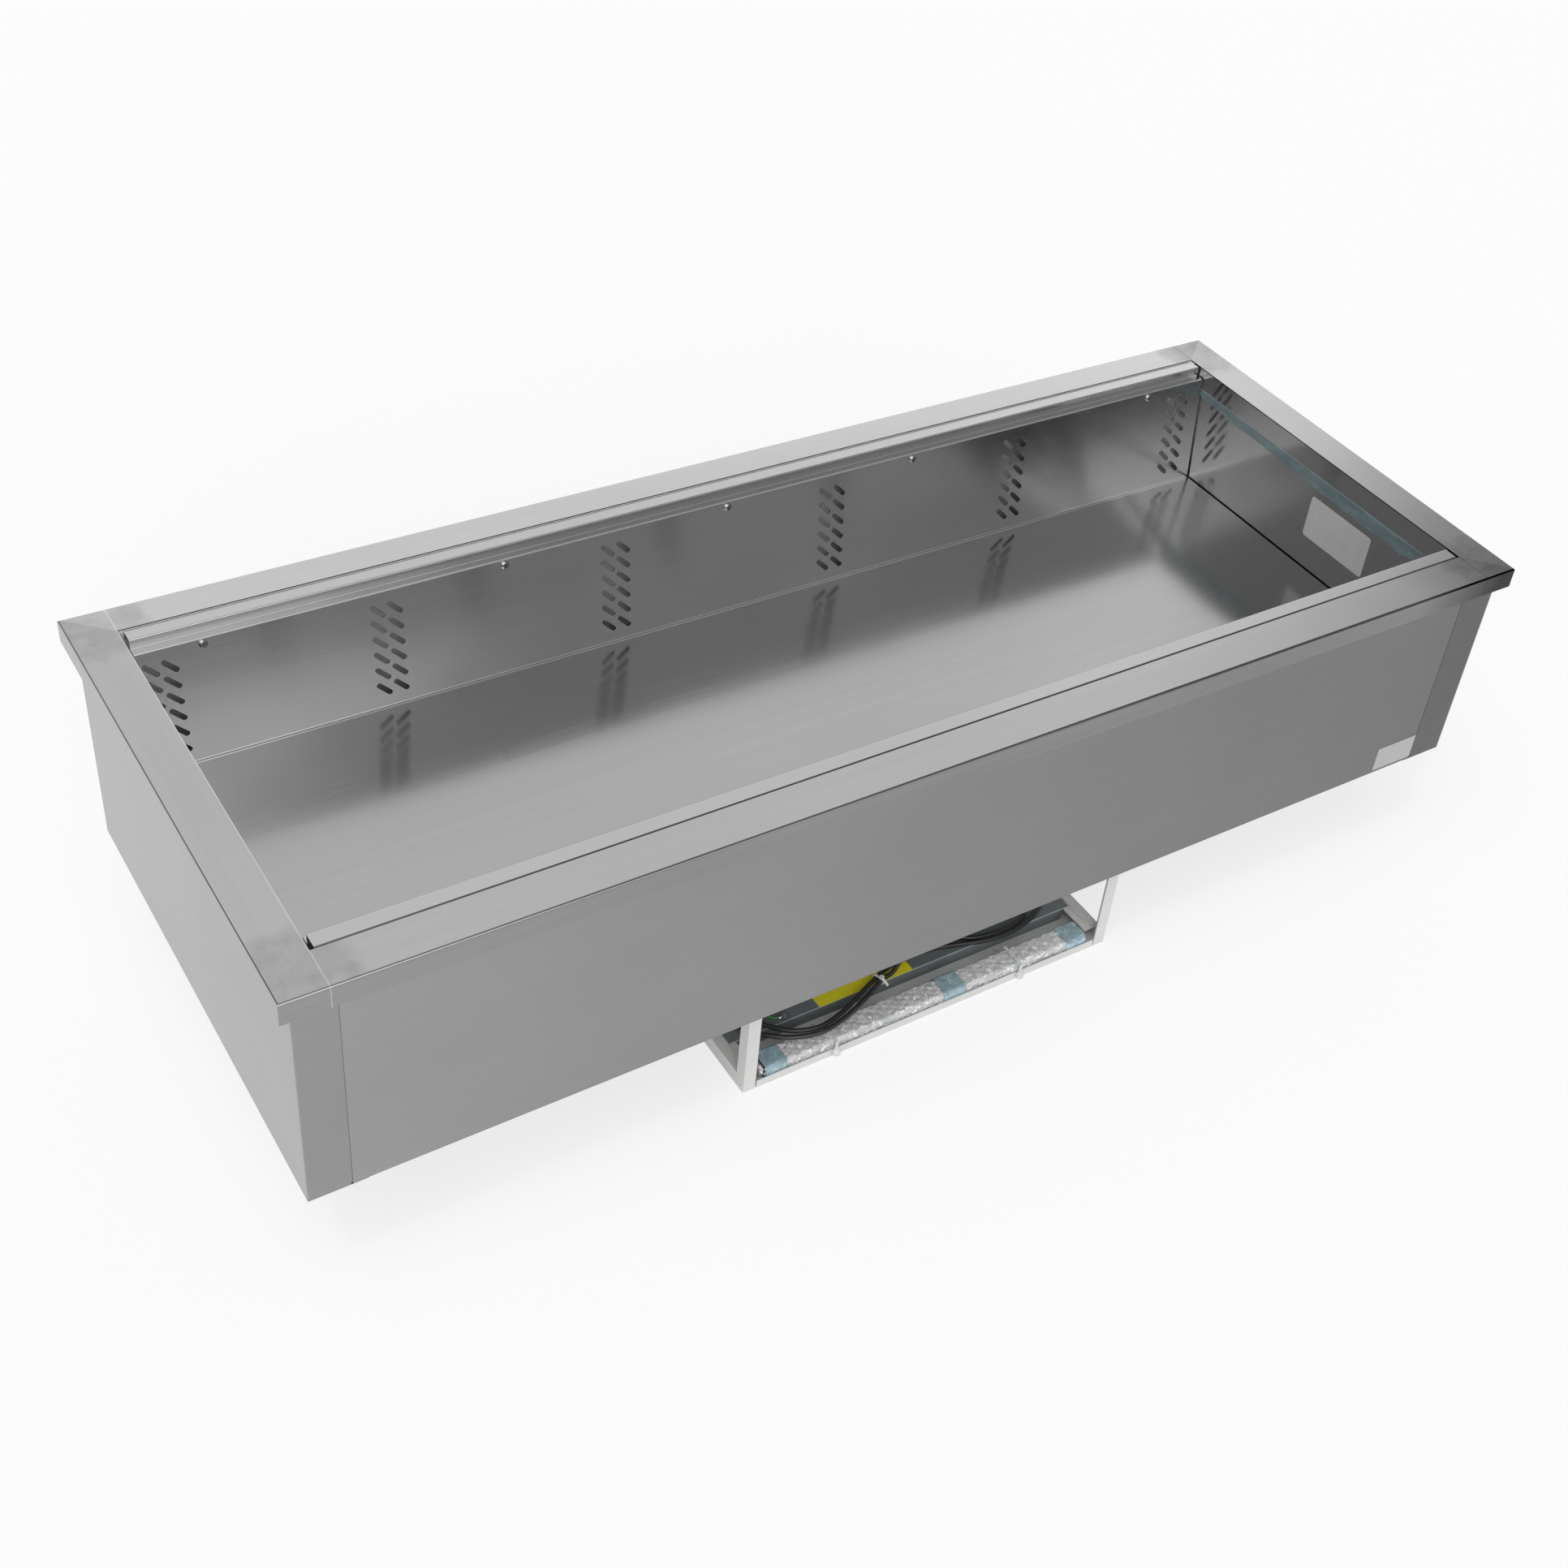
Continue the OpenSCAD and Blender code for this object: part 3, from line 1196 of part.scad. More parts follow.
// White tie round the two strands of the lead
tie_at = [-46.5, -234.3, 28];
tie_turn = 21;
module cable_tie() {
  color([0.93, 0.93, 0.92]) translate(tie_at) rotate([0, 0, tie_turn]) {
    rotate([90, 0, 90]) linear_extrude(height = 3.6, center = true) difference() {
      round_rect(18, 9.4, 3);
      round_rect(15.6, 7.2, 2.5);
    }
    box([-2.6, -6.5, 4.2], [2.6, -1.5, 8.2]);
    translate([0, -4, 6.2]) rotate([35, 0, 0]) box([-1.8, -14, -0.6], [1.8, 0, 0.6]);
  }
}

// Earth wire from its stud on the base plate to the condenser's side plate
earth_r = 1.5;
earth_z = unit_top + 4;
earth_route = [
  [stud[0] - 6, stud[1], earth_z], [-206, -227, 25.5], [-215, -218, 26], [-220, -206, 28],
  [cond_left + 2, cond_y - 12, 30.5], [cond_left + 0.75, cond_y - 8, 31], [cond_left + 0.75, cond_y - 4, 31],
  [cond_left + 0.75, cond_y, 31]
];
module earth_wire() {
  color([0.2, 0.6, 0.2]) {
    difference() {
      union() {
        translate([stud[0], stud[1], earth_z - 0.6]) cylinder(h = 1.2, r = 5, $fn = 32);
        box([stud[0] - 8, stud[1] - 1.8, earth_z - 1.8], [stud[0] - 4, stud[1] + 1.8, earth_z + 1.8]);
      }
      translate([stud[0], stud[1], unit_top]) cylinder(h = 10, r = stud_r + seat, $fn = 32);
    }
    tube(smooth(earth_route, 3), earth_r, 8);
  }
}

// Divider bars for the food pans, packed in bubble wrap on the tray
bar_w = 26;
bar_h = 6;
bar_t = 1;
bar_end = 4;
bundle_y = -frame_y + tray_sheet + 1 + wrap_d / 2;
bundle_z = tray_sheet + tape_t;
tape_w = [32, 35, 34];
tape_x = [-wrap_l / 2 + 6, 20, wrap_l / 2 - 4 - tape_w[2]];
module bundle_section(grow, r) {
  translate([bundle_y, bundle_z + wrap_h / 2]) round_rect(wrap_d + 2 * grow, wrap_h + 2 * grow, r);
}
module along_x(x0, x1) {
  translate([x0, 0, 0]) rotate([90, 0, 90]) linear_extrude(height = x1 - x0) children();
}
module divider_bars() {
  color(steel) for (k = [0 : 2]) {
    z = bundle_z + wrap_t + k * (bar_h + 0.2);
    difference() {
      box([-wrap_l / 2 + bar_end, bundle_y - bar_w / 2, z],
          [wrap_l / 2 - bar_end, bundle_y + bar_w / 2, z + bar_h]);
      box([-wrap_l / 2, bundle_y - bar_w / 2 + bar_t, z - cut],
          [wrap_l / 2, bundle_y + bar_w / 2 - bar_t, z + bar_h - bar_t]);
    }
  }
}
module bubble_wrap() {
  color([0.8, 0.84, 0.86, 0.6]) along_x(-wrap_l / 2, wrap_l / 2) difference() {
    bundle_section(0, 6);
    bundle_section(-wrap_t, 2);
  }
}
module tape_bands() {
  color([0.36, 0.52, 0.62]) for (i = [0 : 2]) along_x(tape_x[i], tape_x[i] + tape_w[i]) difference() {
    bundle_section(tape_t, 6.4);
    bundle_section(0, 6);
  }
}
tie_t = 0.35;
tie_knot = 7;
module bundle_ties() {
  y0 = -frame_y - 1;
  y1 = bundle_y + wrap_d / 2 + 0.3;
  z0 = bundle_z - seat;
  z1 = bundle_z + wrap_h + seat;
  color([0.85, 0.86, 0.86]) for (x = tie_x) {
    difference() {
      box([x - tie_w / 2, y0 - tie_t, z0 - tie_t + seat], [x + tie_w / 2, y1 + tie_t, z1 + tie_t]);
      box([x - tie_w, y0, z0], [x + tie_w, y1, z1]);
    }
    box([x - tie_w / 2, y1, z0 - tie_t + seat], [x + tie_w / 2, -unit_y - 6, z0]);
    intersection() {
      translate([x, y0 - tie_t + 0.1, tie_knot + 1]) sphere(r = tie_knot, $fn = 48);
      box([x - 2 * tie_knot, y0 - 2 * tie_knot, 0], [x + 2 * tie_knot, y0, 3 * tie_knot]);
    }
  }
}

rim_strip(0);  // rim_front
rim_strip(1);  // rim_right
rim_strip(2);  // rim_back
rim_strip(3);  // rim_left
casing_front();
casing_back();
casing_end_left();
casing_end_right();
casing_bottom();
foam_core();
tank();
duct_back();
duct_front();
duct_brackets();
duct_screws();
floor_pan();
rating_label();
front_sticker();
film_strip();
fan_bulkhead();
evaporator_fins();
evaporator_tubes();
fan_frames();
fan_rotor(0);  // fan_rotor_left
fan_rotor(1);  // fan_rotor_middle
fan_rotor(2);  // fan_rotor_right
drain_spigot();
drain_valve();
drain_lever();
frame_left();
frame_right();
base_tray();
unit_base();
unit_sticker();
compressor();
compressor_cover();
compressor_mounts();
condenser_fins();
condenser_tubes();
condenser_shroud();
condenser_motor();
condenser_fan();
filter_drier();
refrigerant_lines();
control_box();
controller();
key(1);  // key_set
key(0);  // key_up
key(-1);  // key_down
power_rocker();
mains_gland();
mains_lead();
lead_coil();
plug();
cable_tie();
earth_wire();
divider_bars();
bubble_wrap();
tape_bands();
bundle_ties();
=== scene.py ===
import math

import bpy
from mathutils import Matrix, Vector, noise


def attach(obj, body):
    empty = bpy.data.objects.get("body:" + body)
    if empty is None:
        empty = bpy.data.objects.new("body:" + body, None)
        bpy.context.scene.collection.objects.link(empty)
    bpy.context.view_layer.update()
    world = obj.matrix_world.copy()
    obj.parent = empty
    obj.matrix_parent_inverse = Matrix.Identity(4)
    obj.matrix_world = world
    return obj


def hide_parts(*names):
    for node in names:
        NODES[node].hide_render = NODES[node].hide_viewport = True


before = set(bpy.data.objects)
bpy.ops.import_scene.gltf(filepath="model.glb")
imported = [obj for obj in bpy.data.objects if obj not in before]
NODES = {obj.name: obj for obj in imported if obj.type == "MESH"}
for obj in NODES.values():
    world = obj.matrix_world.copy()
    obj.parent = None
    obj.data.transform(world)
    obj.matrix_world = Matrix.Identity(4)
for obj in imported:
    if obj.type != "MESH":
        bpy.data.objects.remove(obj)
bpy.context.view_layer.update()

SCENE = bpy.context.scene
MM = 0.001

# Camera, at the photograph's viewing angle
SENSOR, LENS = 36.0, 48.01
SHIFT = (-0.0796, -0.0305)
CLIP = (0.05, 100.0)
CAMERA_AT = (-1.3087, -1.7562, 2.0533)
CAMERA_RIGHT = Vector((0.82372, -0.55494, 0.11628))
CAMERA_UP = Vector((0.27954, 0.57591, 0.76823))


def make_camera():
    data = bpy.data.cameras.new("camera")
    data.sensor_width, data.lens = SENSOR, LENS
    data.shift_x, data.shift_y = SHIFT
    data.clip_start, data.clip_end = CLIP
    camera = bpy.data.objects.new("camera", data)
    SCENE.collection.objects.link(camera)
    back = CAMERA_RIGHT.cross(CAMERA_UP)
    axes = Matrix((CAMERA_RIGHT, CAMERA_UP, back)).transposed()
    camera.matrix_world = Matrix.Translation(CAMERA_AT) @ axes.to_4x4()
    SCENE.camera = camera


make_camera()


# Shader helpers
def add(tree, kind, inputs=None, **settings):
    """A new shader node with its inputs set or linked."""
    node = tree.nodes.new("ShaderNode" + kind)
    for name, value in settings.items():
        setattr(node, name, value)
    for name, value in (inputs or {}).items():
        if isinstance(value, bpy.types.NodeSocket):
            tree.links.new(value, node.inputs[name])
        else:
            node.inputs[name].default_value = value
    return node


def position(tree):
    """X, Y and Z on the object, in metres."""
    place_on = add(tree, "TexCoord").outputs["Object"]
    return add(tree, "SeparateXYZ", {"Vector": place_on}).outputs


def pattern(tree, scale, detail=3.0, kind="TexNoise"):
    """Noise on the object, with one scale or its own scale along X, Y and Z."""
    scale = scale if isinstance(scale, tuple) else (scale,) * 3
    coord = add(tree, "TexCoord")
    mapping = add(tree, "Mapping", {"Vector": coord.outputs["Object"], "Scale": scale})
    inputs = {"Vector": mapping.outputs["Vector"], "Scale": 1.0}
    if kind == "TexNoise":
        inputs["Detail"] = detail
    return add(tree, kind, inputs).outputs["Fac" if kind == "TexNoise" else "Distance"]


def remap(tree, value, low, high, start=0.3, end=0.7, curve="LINEAR"):
    """Low to high as the value goes from start to end, which by default suit noise."""
    node = add(tree, "MapRange", {"Value": value, "From Min": start, "From Max": end,
                                  "To Min": low, "To Max": high}, interpolation_type=curve)
    return node.outputs["Result"]


def maths(tree, operation, a, b=0.0):
    node = add(tree, "Math", operation=operation)
    for i, value in enumerate((a, b)):
        if isinstance(value, bpy.types.NodeSocket):
            tree.links.new(value, node.inputs[i])
        else:
            node.inputs[i].default_value = value
    return node.outputs[0]


def raised(tree, level, mask, change):
    """The level plus the change, as far as the mask says."""
    return maths(tree, "ADD", level, maths(tree, "MULTIPLY", mask, change))


def band(tree, value, start, end):
    """1 where the value lies between start and end, 0 elsewhere."""
    return maths(tree, "MULTIPLY", maths(tree, "GREATER_THAN", value, start),
                 maths(tree, "LESS_THAN", value, end))


def shade(tree, factor, low, high):
    """Colour between low and high as the factor goes from 0 to 1."""
    node = add(tree, "ValToRGB", {"Fac": factor})
    for element, colour in zip(node.color_ramp.elements, (low, high)):
        element.color = (*colour, 1.0)
    return node.outputs["Color"]


def scaled(colour, share):
    return tuple(min(1.0, max(0.0, c * share)) for c in colour)


def bump(tree, shader, height, strength, distance):
    node = add(tree, "Bump", {"Height": height, "Strength": strength, "Distance": distance})
    tree.links.new(node.outputs["Normal"], shader.inputs["Normal"])


def new_material(name):
    material = bpy.data.materials.new(name)
    material.use_nodes = True
    tree = material.node_tree
    return material, tree, tree.nodes["Principled BSDF"]


def set_sockets(shader, sockets):
    for key, value in (sockets or {}).items():
        shader.inputs[key].default_value = value


# Plain finishes
ROUGH_SPREAD, FINE_DEPTH = 0.06, 0.0003


def finish(name, colour, rough, metallic=0.0, spread=0.08, grain=60, fine=900, depth=0.15,
           sockets=None, painted_highlight=None):
    """Plain finish: tone and gloss drift over the surface, with a fine bump.

    An edge can get a painted highlight: brighter in front of a depth and between two heights, by
    a gain.
    """
    material, tree, shader = new_material(name)
    drift = pattern(tree, grain)
    paint = shade(tree, remap(tree, drift, 0, 1), scaled(colour, 1 - spread),
                  scaled(colour, 1 + spread))
    # Painted highlight: a strip along one edge made brighter by the gain
    if painted_highlight:
        front, low, high, gain = painted_highlight
        spot = position(tree)
        strip = maths(tree, "MULTIPLY", band(tree, spot["Z"], low, high),
                      maths(tree, "LESS_THAN", spot["Y"], front))
        inputs = {"Vector": paint, "Scale": remap(tree, strip, 1.0, gain, 0, 1)}
        paint = add(tree, "VectorMath", inputs, operation="SCALE").outputs["Vector"]
    tree.links.new(paint, shader.inputs["Base Color"])
    tree.links.new(remap(tree, drift, rough - ROUGH_SPREAD, rough + ROUGH_SPREAD),
                   shader.inputs["Roughness"])
    shader.inputs["Metallic"].default_value = metallic
    bump(tree, shader, pattern(tree, fine), depth, FINE_DEPTH)
    set_sockets(shader, sockets)
    return material


# Brushed steel. Scales of its streaks across and along the grain, and of its smudges
FINE_STREAK, BROAD_STREAK, SMUDGE = (700, 9), (70, 1.3), 2.6
SMUDGE_TONE, SMUDGE_DEPTH = 0.03, 0.004
SMUDGE_GLOSS, STREAK_GLOSS = (-0.02, 0.03), 0.015
# Direction in which a highlight spreads, square to the streaks on every face of a bent sheet
ACROSS_GRAIN = {"X": (0.03, 0.2, 0.98), "Y": (0.2, 0.03, 0.98)}
ANISOTROPY = 0.6
LEFT_TO_RIGHT = (-0.85, 0.85)
# Rim: top face, height of the skirt's bend, and where the ground corners start along X and Y
RIM_FACE, SKIRT_TOP = 0.4998, 0.4975
RIM_PATCH = (0.785, 0.242)
PATCH_BLUR, PATCH_WOBBLE, PATCH_TONE, PATCH_GLOSS = 0.02, 0.012, (-0.22, -0.08), 0.03
# Painted shade lines along the rim's bends: height from, height to, and growth towards the right
BEND_SHADE_LINES = ((0.4973, 0.4980, 0.0), (0.4992, 0.4999, -0.0019))
# Painted shade of the bend lines, at the left and at the right end
BEND_SHADE = (-0.5, -0.8)
# Painted lines along the inner edges of the rim's end strips, a highlight on the left and shade
# on the right: X from, X to, and change of tone
INNER_HIGHLIGHT_AND_SHADE = ((-0.8312, -0.8299, 0.3), (0.8299, 0.8308, -0.4))
# Tone change of the painted shade at the ducts' ledges, and of the painted highlight at the floor
# pan's back edge
JOINT_SHADE, HEM_HIGHLIGHT = -0.7, 0.8
# Behind the ducts: painted light on the tone, less metal and more roughness
DULL_PAINTED_LIGHT, DULL_METALLIC, DULL_GLOSS = 0.9, 0.15, 0.3


def along_axis(axis, across, along):
    return tuple(along if a == axis else across for a in "XYZ")


def ground_corners(tree, spot, patch):
    """1 in the ground patches at the rim's corners, 0 elsewhere."""
    wobble = remap(tree, pattern(tree, 16), -PATCH_WOBBLE, PATCH_WOBBLE)
    masks = []
    for name, start in zip("XY", patch):
        away = maths(tree, "ADD", maths(tree, "ABSOLUTE", spot[name]), wobble)
        masks.append(remap(tree, away, 0, 1, start, start + PATCH_BLUR, "SMOOTHSTEP"))
    on_top = maths(tree, "GREATER_THAN", spot["Z"], RIM_FACE)
    return maths(tree, "MULTIPLY", maths(tree, "MINIMUM", *masks), on_top)


def rim_painted_lines(tree, spot, level):
    """The level with painted shade lines along the rim's bends and a painted highlight and shade
    along its inner edges.
    """
    rightward = remap(tree, spot["X"], 0, 1, *LEFT_TO_RIGHT)
    change = remap(tree, rightward, *BEND_SHADE, 0, 1)
    for start, end, growth in BEND_SHADE_LINES:
        start = maths(tree, "ADD", maths(tree, "MULTIPLY", rightward, growth), start)
        level = raised(tree, level, band(tree, spot["Z"], start, end), change)
    for start, end, change in INNER_HIGHLIGHT_AND_SHADE:
        level = raised(tree, level, band(tree, spot["X"], start, end), change)
    return level


def steel(name, tone, rough, axis, streak=0.018, patch=None, fade=None, inset=None,
          lines=False, joint_shade=None, hem_highlight=None, dull_and_painted_light=None):
    """Brushed stainless sheet: streaks run along one axis.

    fade: painted shade along an axis: the axis, start, end and the change of tone from one to the
    other.
    inset: painted shade: axis, distance from the origin within which the tone changes, and by how
    much it does at the left and at the right end.
    joint: painted shade where the ducts' ledges meet the rim, in front of the first depth and
    behind the second.
    hem: painted highlight behind this depth.
    dull: further than this from the middle, to the front and to the back, the sheet is matte and
    painted lighter, as light through the duct slots.
    """
    material, tree, shader = new_material(name)
    fine = pattern(tree, along_axis(axis, *FINE_STREAK))
    broad = pattern(tree, along_axis(axis, *BROAD_STREAK))
    smudge = pattern(tree, SMUDGE, 2.0)
    spot = position(tree)
    level = maths(tree, "ADD", remap(tree, fine, -streak, streak),
                  remap(tree, broad, -streak, streak))
    level = maths(tree, "ADD", level, remap(tree, smudge, -SMUDGE_TONE, SMUDGE_TONE))
    gloss = maths(tree, "ADD", remap(tree, smudge, *(rough + g for g in SMUDGE_GLOSS)),
                  remap(tree, fine, -STREAK_GLOSS, STREAK_GLOSS))
    if patch:
        mask = ground_corners(tree, spot, patch)
        level = raised(tree, level, mask, remap(tree, pattern(tree, 45, 4.0), *PATCH_TONE))
        gloss = raised(tree, gloss, mask, PATCH_GLOSS)
    # Painted shade: the tone darkens along an axis
    if fade:
        along, start, end, change = fade
        level = maths(tree, "ADD", level, remap(tree, spot[along], 0.0, change, start, end))
    # Painted shade on the faces that turn another way, darker towards the right
    if inset:
        along, limit, left, right = inset
        inner = maths(tree, "LESS_THAN", maths(tree, "ABSOLUTE", spot[along]), limit)
        level = raised(tree, level, inner, remap(tree, spot["X"], left, right, *LEFT_TO_RIGHT))
    # Painted shade and highlight lines along the rim's bends and inner edges
    if lines:
        level = rim_painted_lines(tree, spot, level)
    # Painted shade along the ducts' outer edges, where the ledges meet the rim
    if joint_shade:
        shaded = maths(tree, "ADD", maths(tree, "LESS_THAN", spot["Y"], joint_shade[0]),
                       maths(tree, "GREATER_THAN", spot["Y"], joint_shade[1]))
        level = raised(tree, level, shaded, JOINT_SHADE)
    # Painted highlight along the floor pan's back edge
    if hem_highlight:
        level = raised(tree, level, maths(tree, "GREATER_THAN", spot["Y"], hem_highlight), HEM_HIGHLIGHT)
    shader.inputs["Metallic"].default_value = 1.0
    # Behind the ducts the sheet is matte, and painted lighter as light through the slots
    if dull_and_painted_light:
        hidden = maths(tree, "GREATER_THAN", maths(tree, "ABSOLUTE", spot["Y"]), dull_and_painted_light)
        level = raised(tree, level, hidden, DULL_PAINTED_LIGHT)
        gloss = raised(tree, gloss, hidden, DULL_GLOSS)
        tree.links.new(remap(tree, hidden, 1.0, DULL_METALLIC, 0, 1), shader.inputs["Metallic"])
    value = maths(tree, "MULTIPLY", maths(tree, "ADD", level, 1.0), tone)
    colour = add(tree, "CombineColor", {"Red": value, "Green": value, "Blue": value})
    tree.links.new(colour.outputs["Color"], shader.inputs["Base Color"])
    tree.links.new(gloss, shader.inputs["Roughness"])
    shader.inputs["Anisotropic"].default_value = ANISOTROPY
    across = add(tree, "CombineXYZ", dict(zip("XYZ", ACROSS_GRAIN[axis])))
    tree.links.new(across.outputs["Vector"], shader.inputs["Tangent"])
    bump(tree, shader, smudge, 0.5, SMUDGE_DEPTH)
    return material


SPANGLE, SPANGLE_RANGE, SPANGLE_ROUGH = 110, (0.1, 0.8), (0.36, 0.5)


def galvanised(name, tone):
    """Zinc-coated sheet, with its spangle."""
    material, tree, shader = new_material(name)
    spangle = pattern(tree, SPANGLE, kind="TexVoronoi")
    paint = shade(tree, remap(tree, spangle, 0, 1, *SPANGLE_RANGE),
                  scaled((tone, tone, tone), 0.88),
                  scaled((tone, tone * 1.01, tone * 1.03), 1.1))
    tree.links.new(paint, shader.inputs["Base Color"])
    tree.links.new(remap(tree, spangle, *SPANGLE_ROUGH, *SPANGLE_RANGE),
                   shader.inputs["Roughness"])
    shader.inputs["Metallic"].default_value = 1.0
    bump(tree, shader, pattern(tree, 300), 0.1, 0.0002)
    return material


# Creases of a clear film, lighter as whitened creases and as painted glints: ridges of noise this
# wide, kept where a second noise is high
CREASE_WIDTH, CREASE_KEPT, CREASE_GLINT_TONE, CREASE_COVER = (0.012, 0.04), (0.49, 0.53), 3.0, 0.5
LIP_COVER = 0.3
SHINY = {"Specular IOR Level": 1.0, "Coat Weight": 1.0, "Coat Roughness": 0.03}


def clear_film(name, colour, rough, alpha, wrinkle, depth, distance=0.0008, sockets=None,
               lip=None, crease_and_glint=None):
    """Thin see-through plastic, crinkled, with a pale lip above a height or with light creases,
    partly painted glints.
    """
    material, tree, shader = new_material(name)
    folds = pattern(tree, wrinkle, 5.0)
    tone = remap(tree, folds, 0, 1)
    cover = remap(tree, folds, *alpha)
    if lip:
        above = maths(tree, "GREATER_THAN", position(tree)["Z"], lip)
        tone = maths(tree, "ADD", tone, above)
        cover = raised(tree, cover, above, LIP_COVER)
    # Creases: lighter as whitened film and as painted glints
    if crease_and_glint:
        ridge = maths(tree, "SUBTRACT", pattern(tree, crease_and_glint, 2.0), 0.5)
        ridge = remap(tree, maths(tree, "ABSOLUTE", ridge), 1, 0, *CREASE_WIDTH)
        kept = remap(tree, pattern(tree, crease_and_glint * 0.7), 0, 1, *CREASE_KEPT)
        ridge = maths(tree, "MULTIPLY", ridge, kept)
        tone = raised(tree, tone, ridge, CREASE_GLINT_TONE)
        cover = raised(tree, cover, ridge, CREASE_COVER)
    paint = shade(tree, tone, scaled(colour, 0.86), scaled(colour, 1.14))
    tree.links.new(paint, shader.inputs["Base Color"])
    tree.links.new(cover, shader.inputs["Alpha"])
    tree.links.new(remap(tree, folds, rough, rough + 0.1), shader.inputs["Roughness"])
    bump(tree, shader, folds, depth, distance)
    set_sockets(shader, sockets)
    return material


# Materials, each with the nodes that wear it
# The four rim strips are one steel: their different tones are painted light and shade. The casing
# sheets' low tones are painted shade.
STEELS = {
    "rim_steel_front": ("rim_front", dict(
        tone=0.50, rough=0.20, axis="X", patch=RIM_PATCH, lines=True,
        fade=("X", 0.70, 0.86, -0.38), inset=("Z", SKIRT_TOP, -0.38, -0.57))),
    "rim_steel_back": ("rim_back", dict(
        tone=0.58, rough=0.20, axis="X", patch=RIM_PATCH, lines=True,
        fade=("X", 0.80, 0.86, -0.25), inset=("Z", SKIRT_TOP, -0.42, -0.55))),
    "rim_steel_left": ("rim_left", dict(
        tone=0.505, rough=0.20, axis="Y", patch=RIM_PATCH, lines=True,
        inset=("Z", SKIRT_TOP, -0.43, -0.5))),
    "rim_steel_right": ("rim_right", dict(
        tone=0.52, rough=0.20, axis="Y", patch=RIM_PATCH, lines=True,
        fade=("Y", 0.05, -0.36, -0.28), inset=("Z", SKIRT_TOP, -0.38, -0.4))),
    "panel_steel": ("casing_front casing_back", dict(
        tone=0.34, rough=0.26, axis="X", streak=0.01, fade=("X", -0.85, 0.85, -0.52))),
    # The end sheets' front and back wraps get painted shade, darker towards the right
    "end_steel": ("casing_end_left casing_end_right", dict(
        tone=0.355, rough=0.26, axis="Y", streak=0.01, inset=("X", 0.869, -0.12, -0.66))),
    "tank_steel": ("tank", dict(tone=0.46, rough=0.12, axis="Y", streak=0.01, dull_and_painted_light=0.29)),
    "duct_steel": ("duct_back duct_front", dict(
        tone=0.55, rough=0.16, axis="X", streak=0.01, joint_shade=(-0.2850, 0.2940))),
    "floor_steel": ("floor_pan", dict(tone=0.46, rough=0.15, axis="X", hem_highlight=0.2445)),
    "bar_steel": ("divider_bars", dict(tone=0.55, rough=0.2, axis="X")),
}
ZINC = {
    "zinc_sheet": ("casing_bottom duct_brackets fan_bulkhead condenser_shroud", dict(tone=0.55)),
}
FILMS = {
    "blue_film": ("film_strip", dict(
        colour=(0.28, 0.39, 0.42), rough=0.3, alpha=(0.36, 0.5), wrinkle=(25, 25, 90),
        depth=0.2, lip=0.4662)),
    "clear_tie": ("bundle_ties", dict(
        colour=(0.78, 0.80, 0.80), rough=0.16, alpha=(0.6, 0.8), wrinkle=120, depth=0.2)),
    "bubble_film": ("bubble_wrap", dict(
        colour=(0.88, 0.91, 0.93), rough=0.04, alpha=(0.6, 0.72), wrinkle=110, depth=0.45,
        distance=0.001, sockets=SHINY, crease_and_glint=130)),
    "blue_tape": ("tape_bands", dict(
        colour=(0.34, 0.49, 0.56), rough=0.08, alpha=(0.7, 0.9), wrinkle=(90, 110, 110),
        depth=0.8, distance=0.0015, sockets=SHINY, crease_and_glint=60)),
}
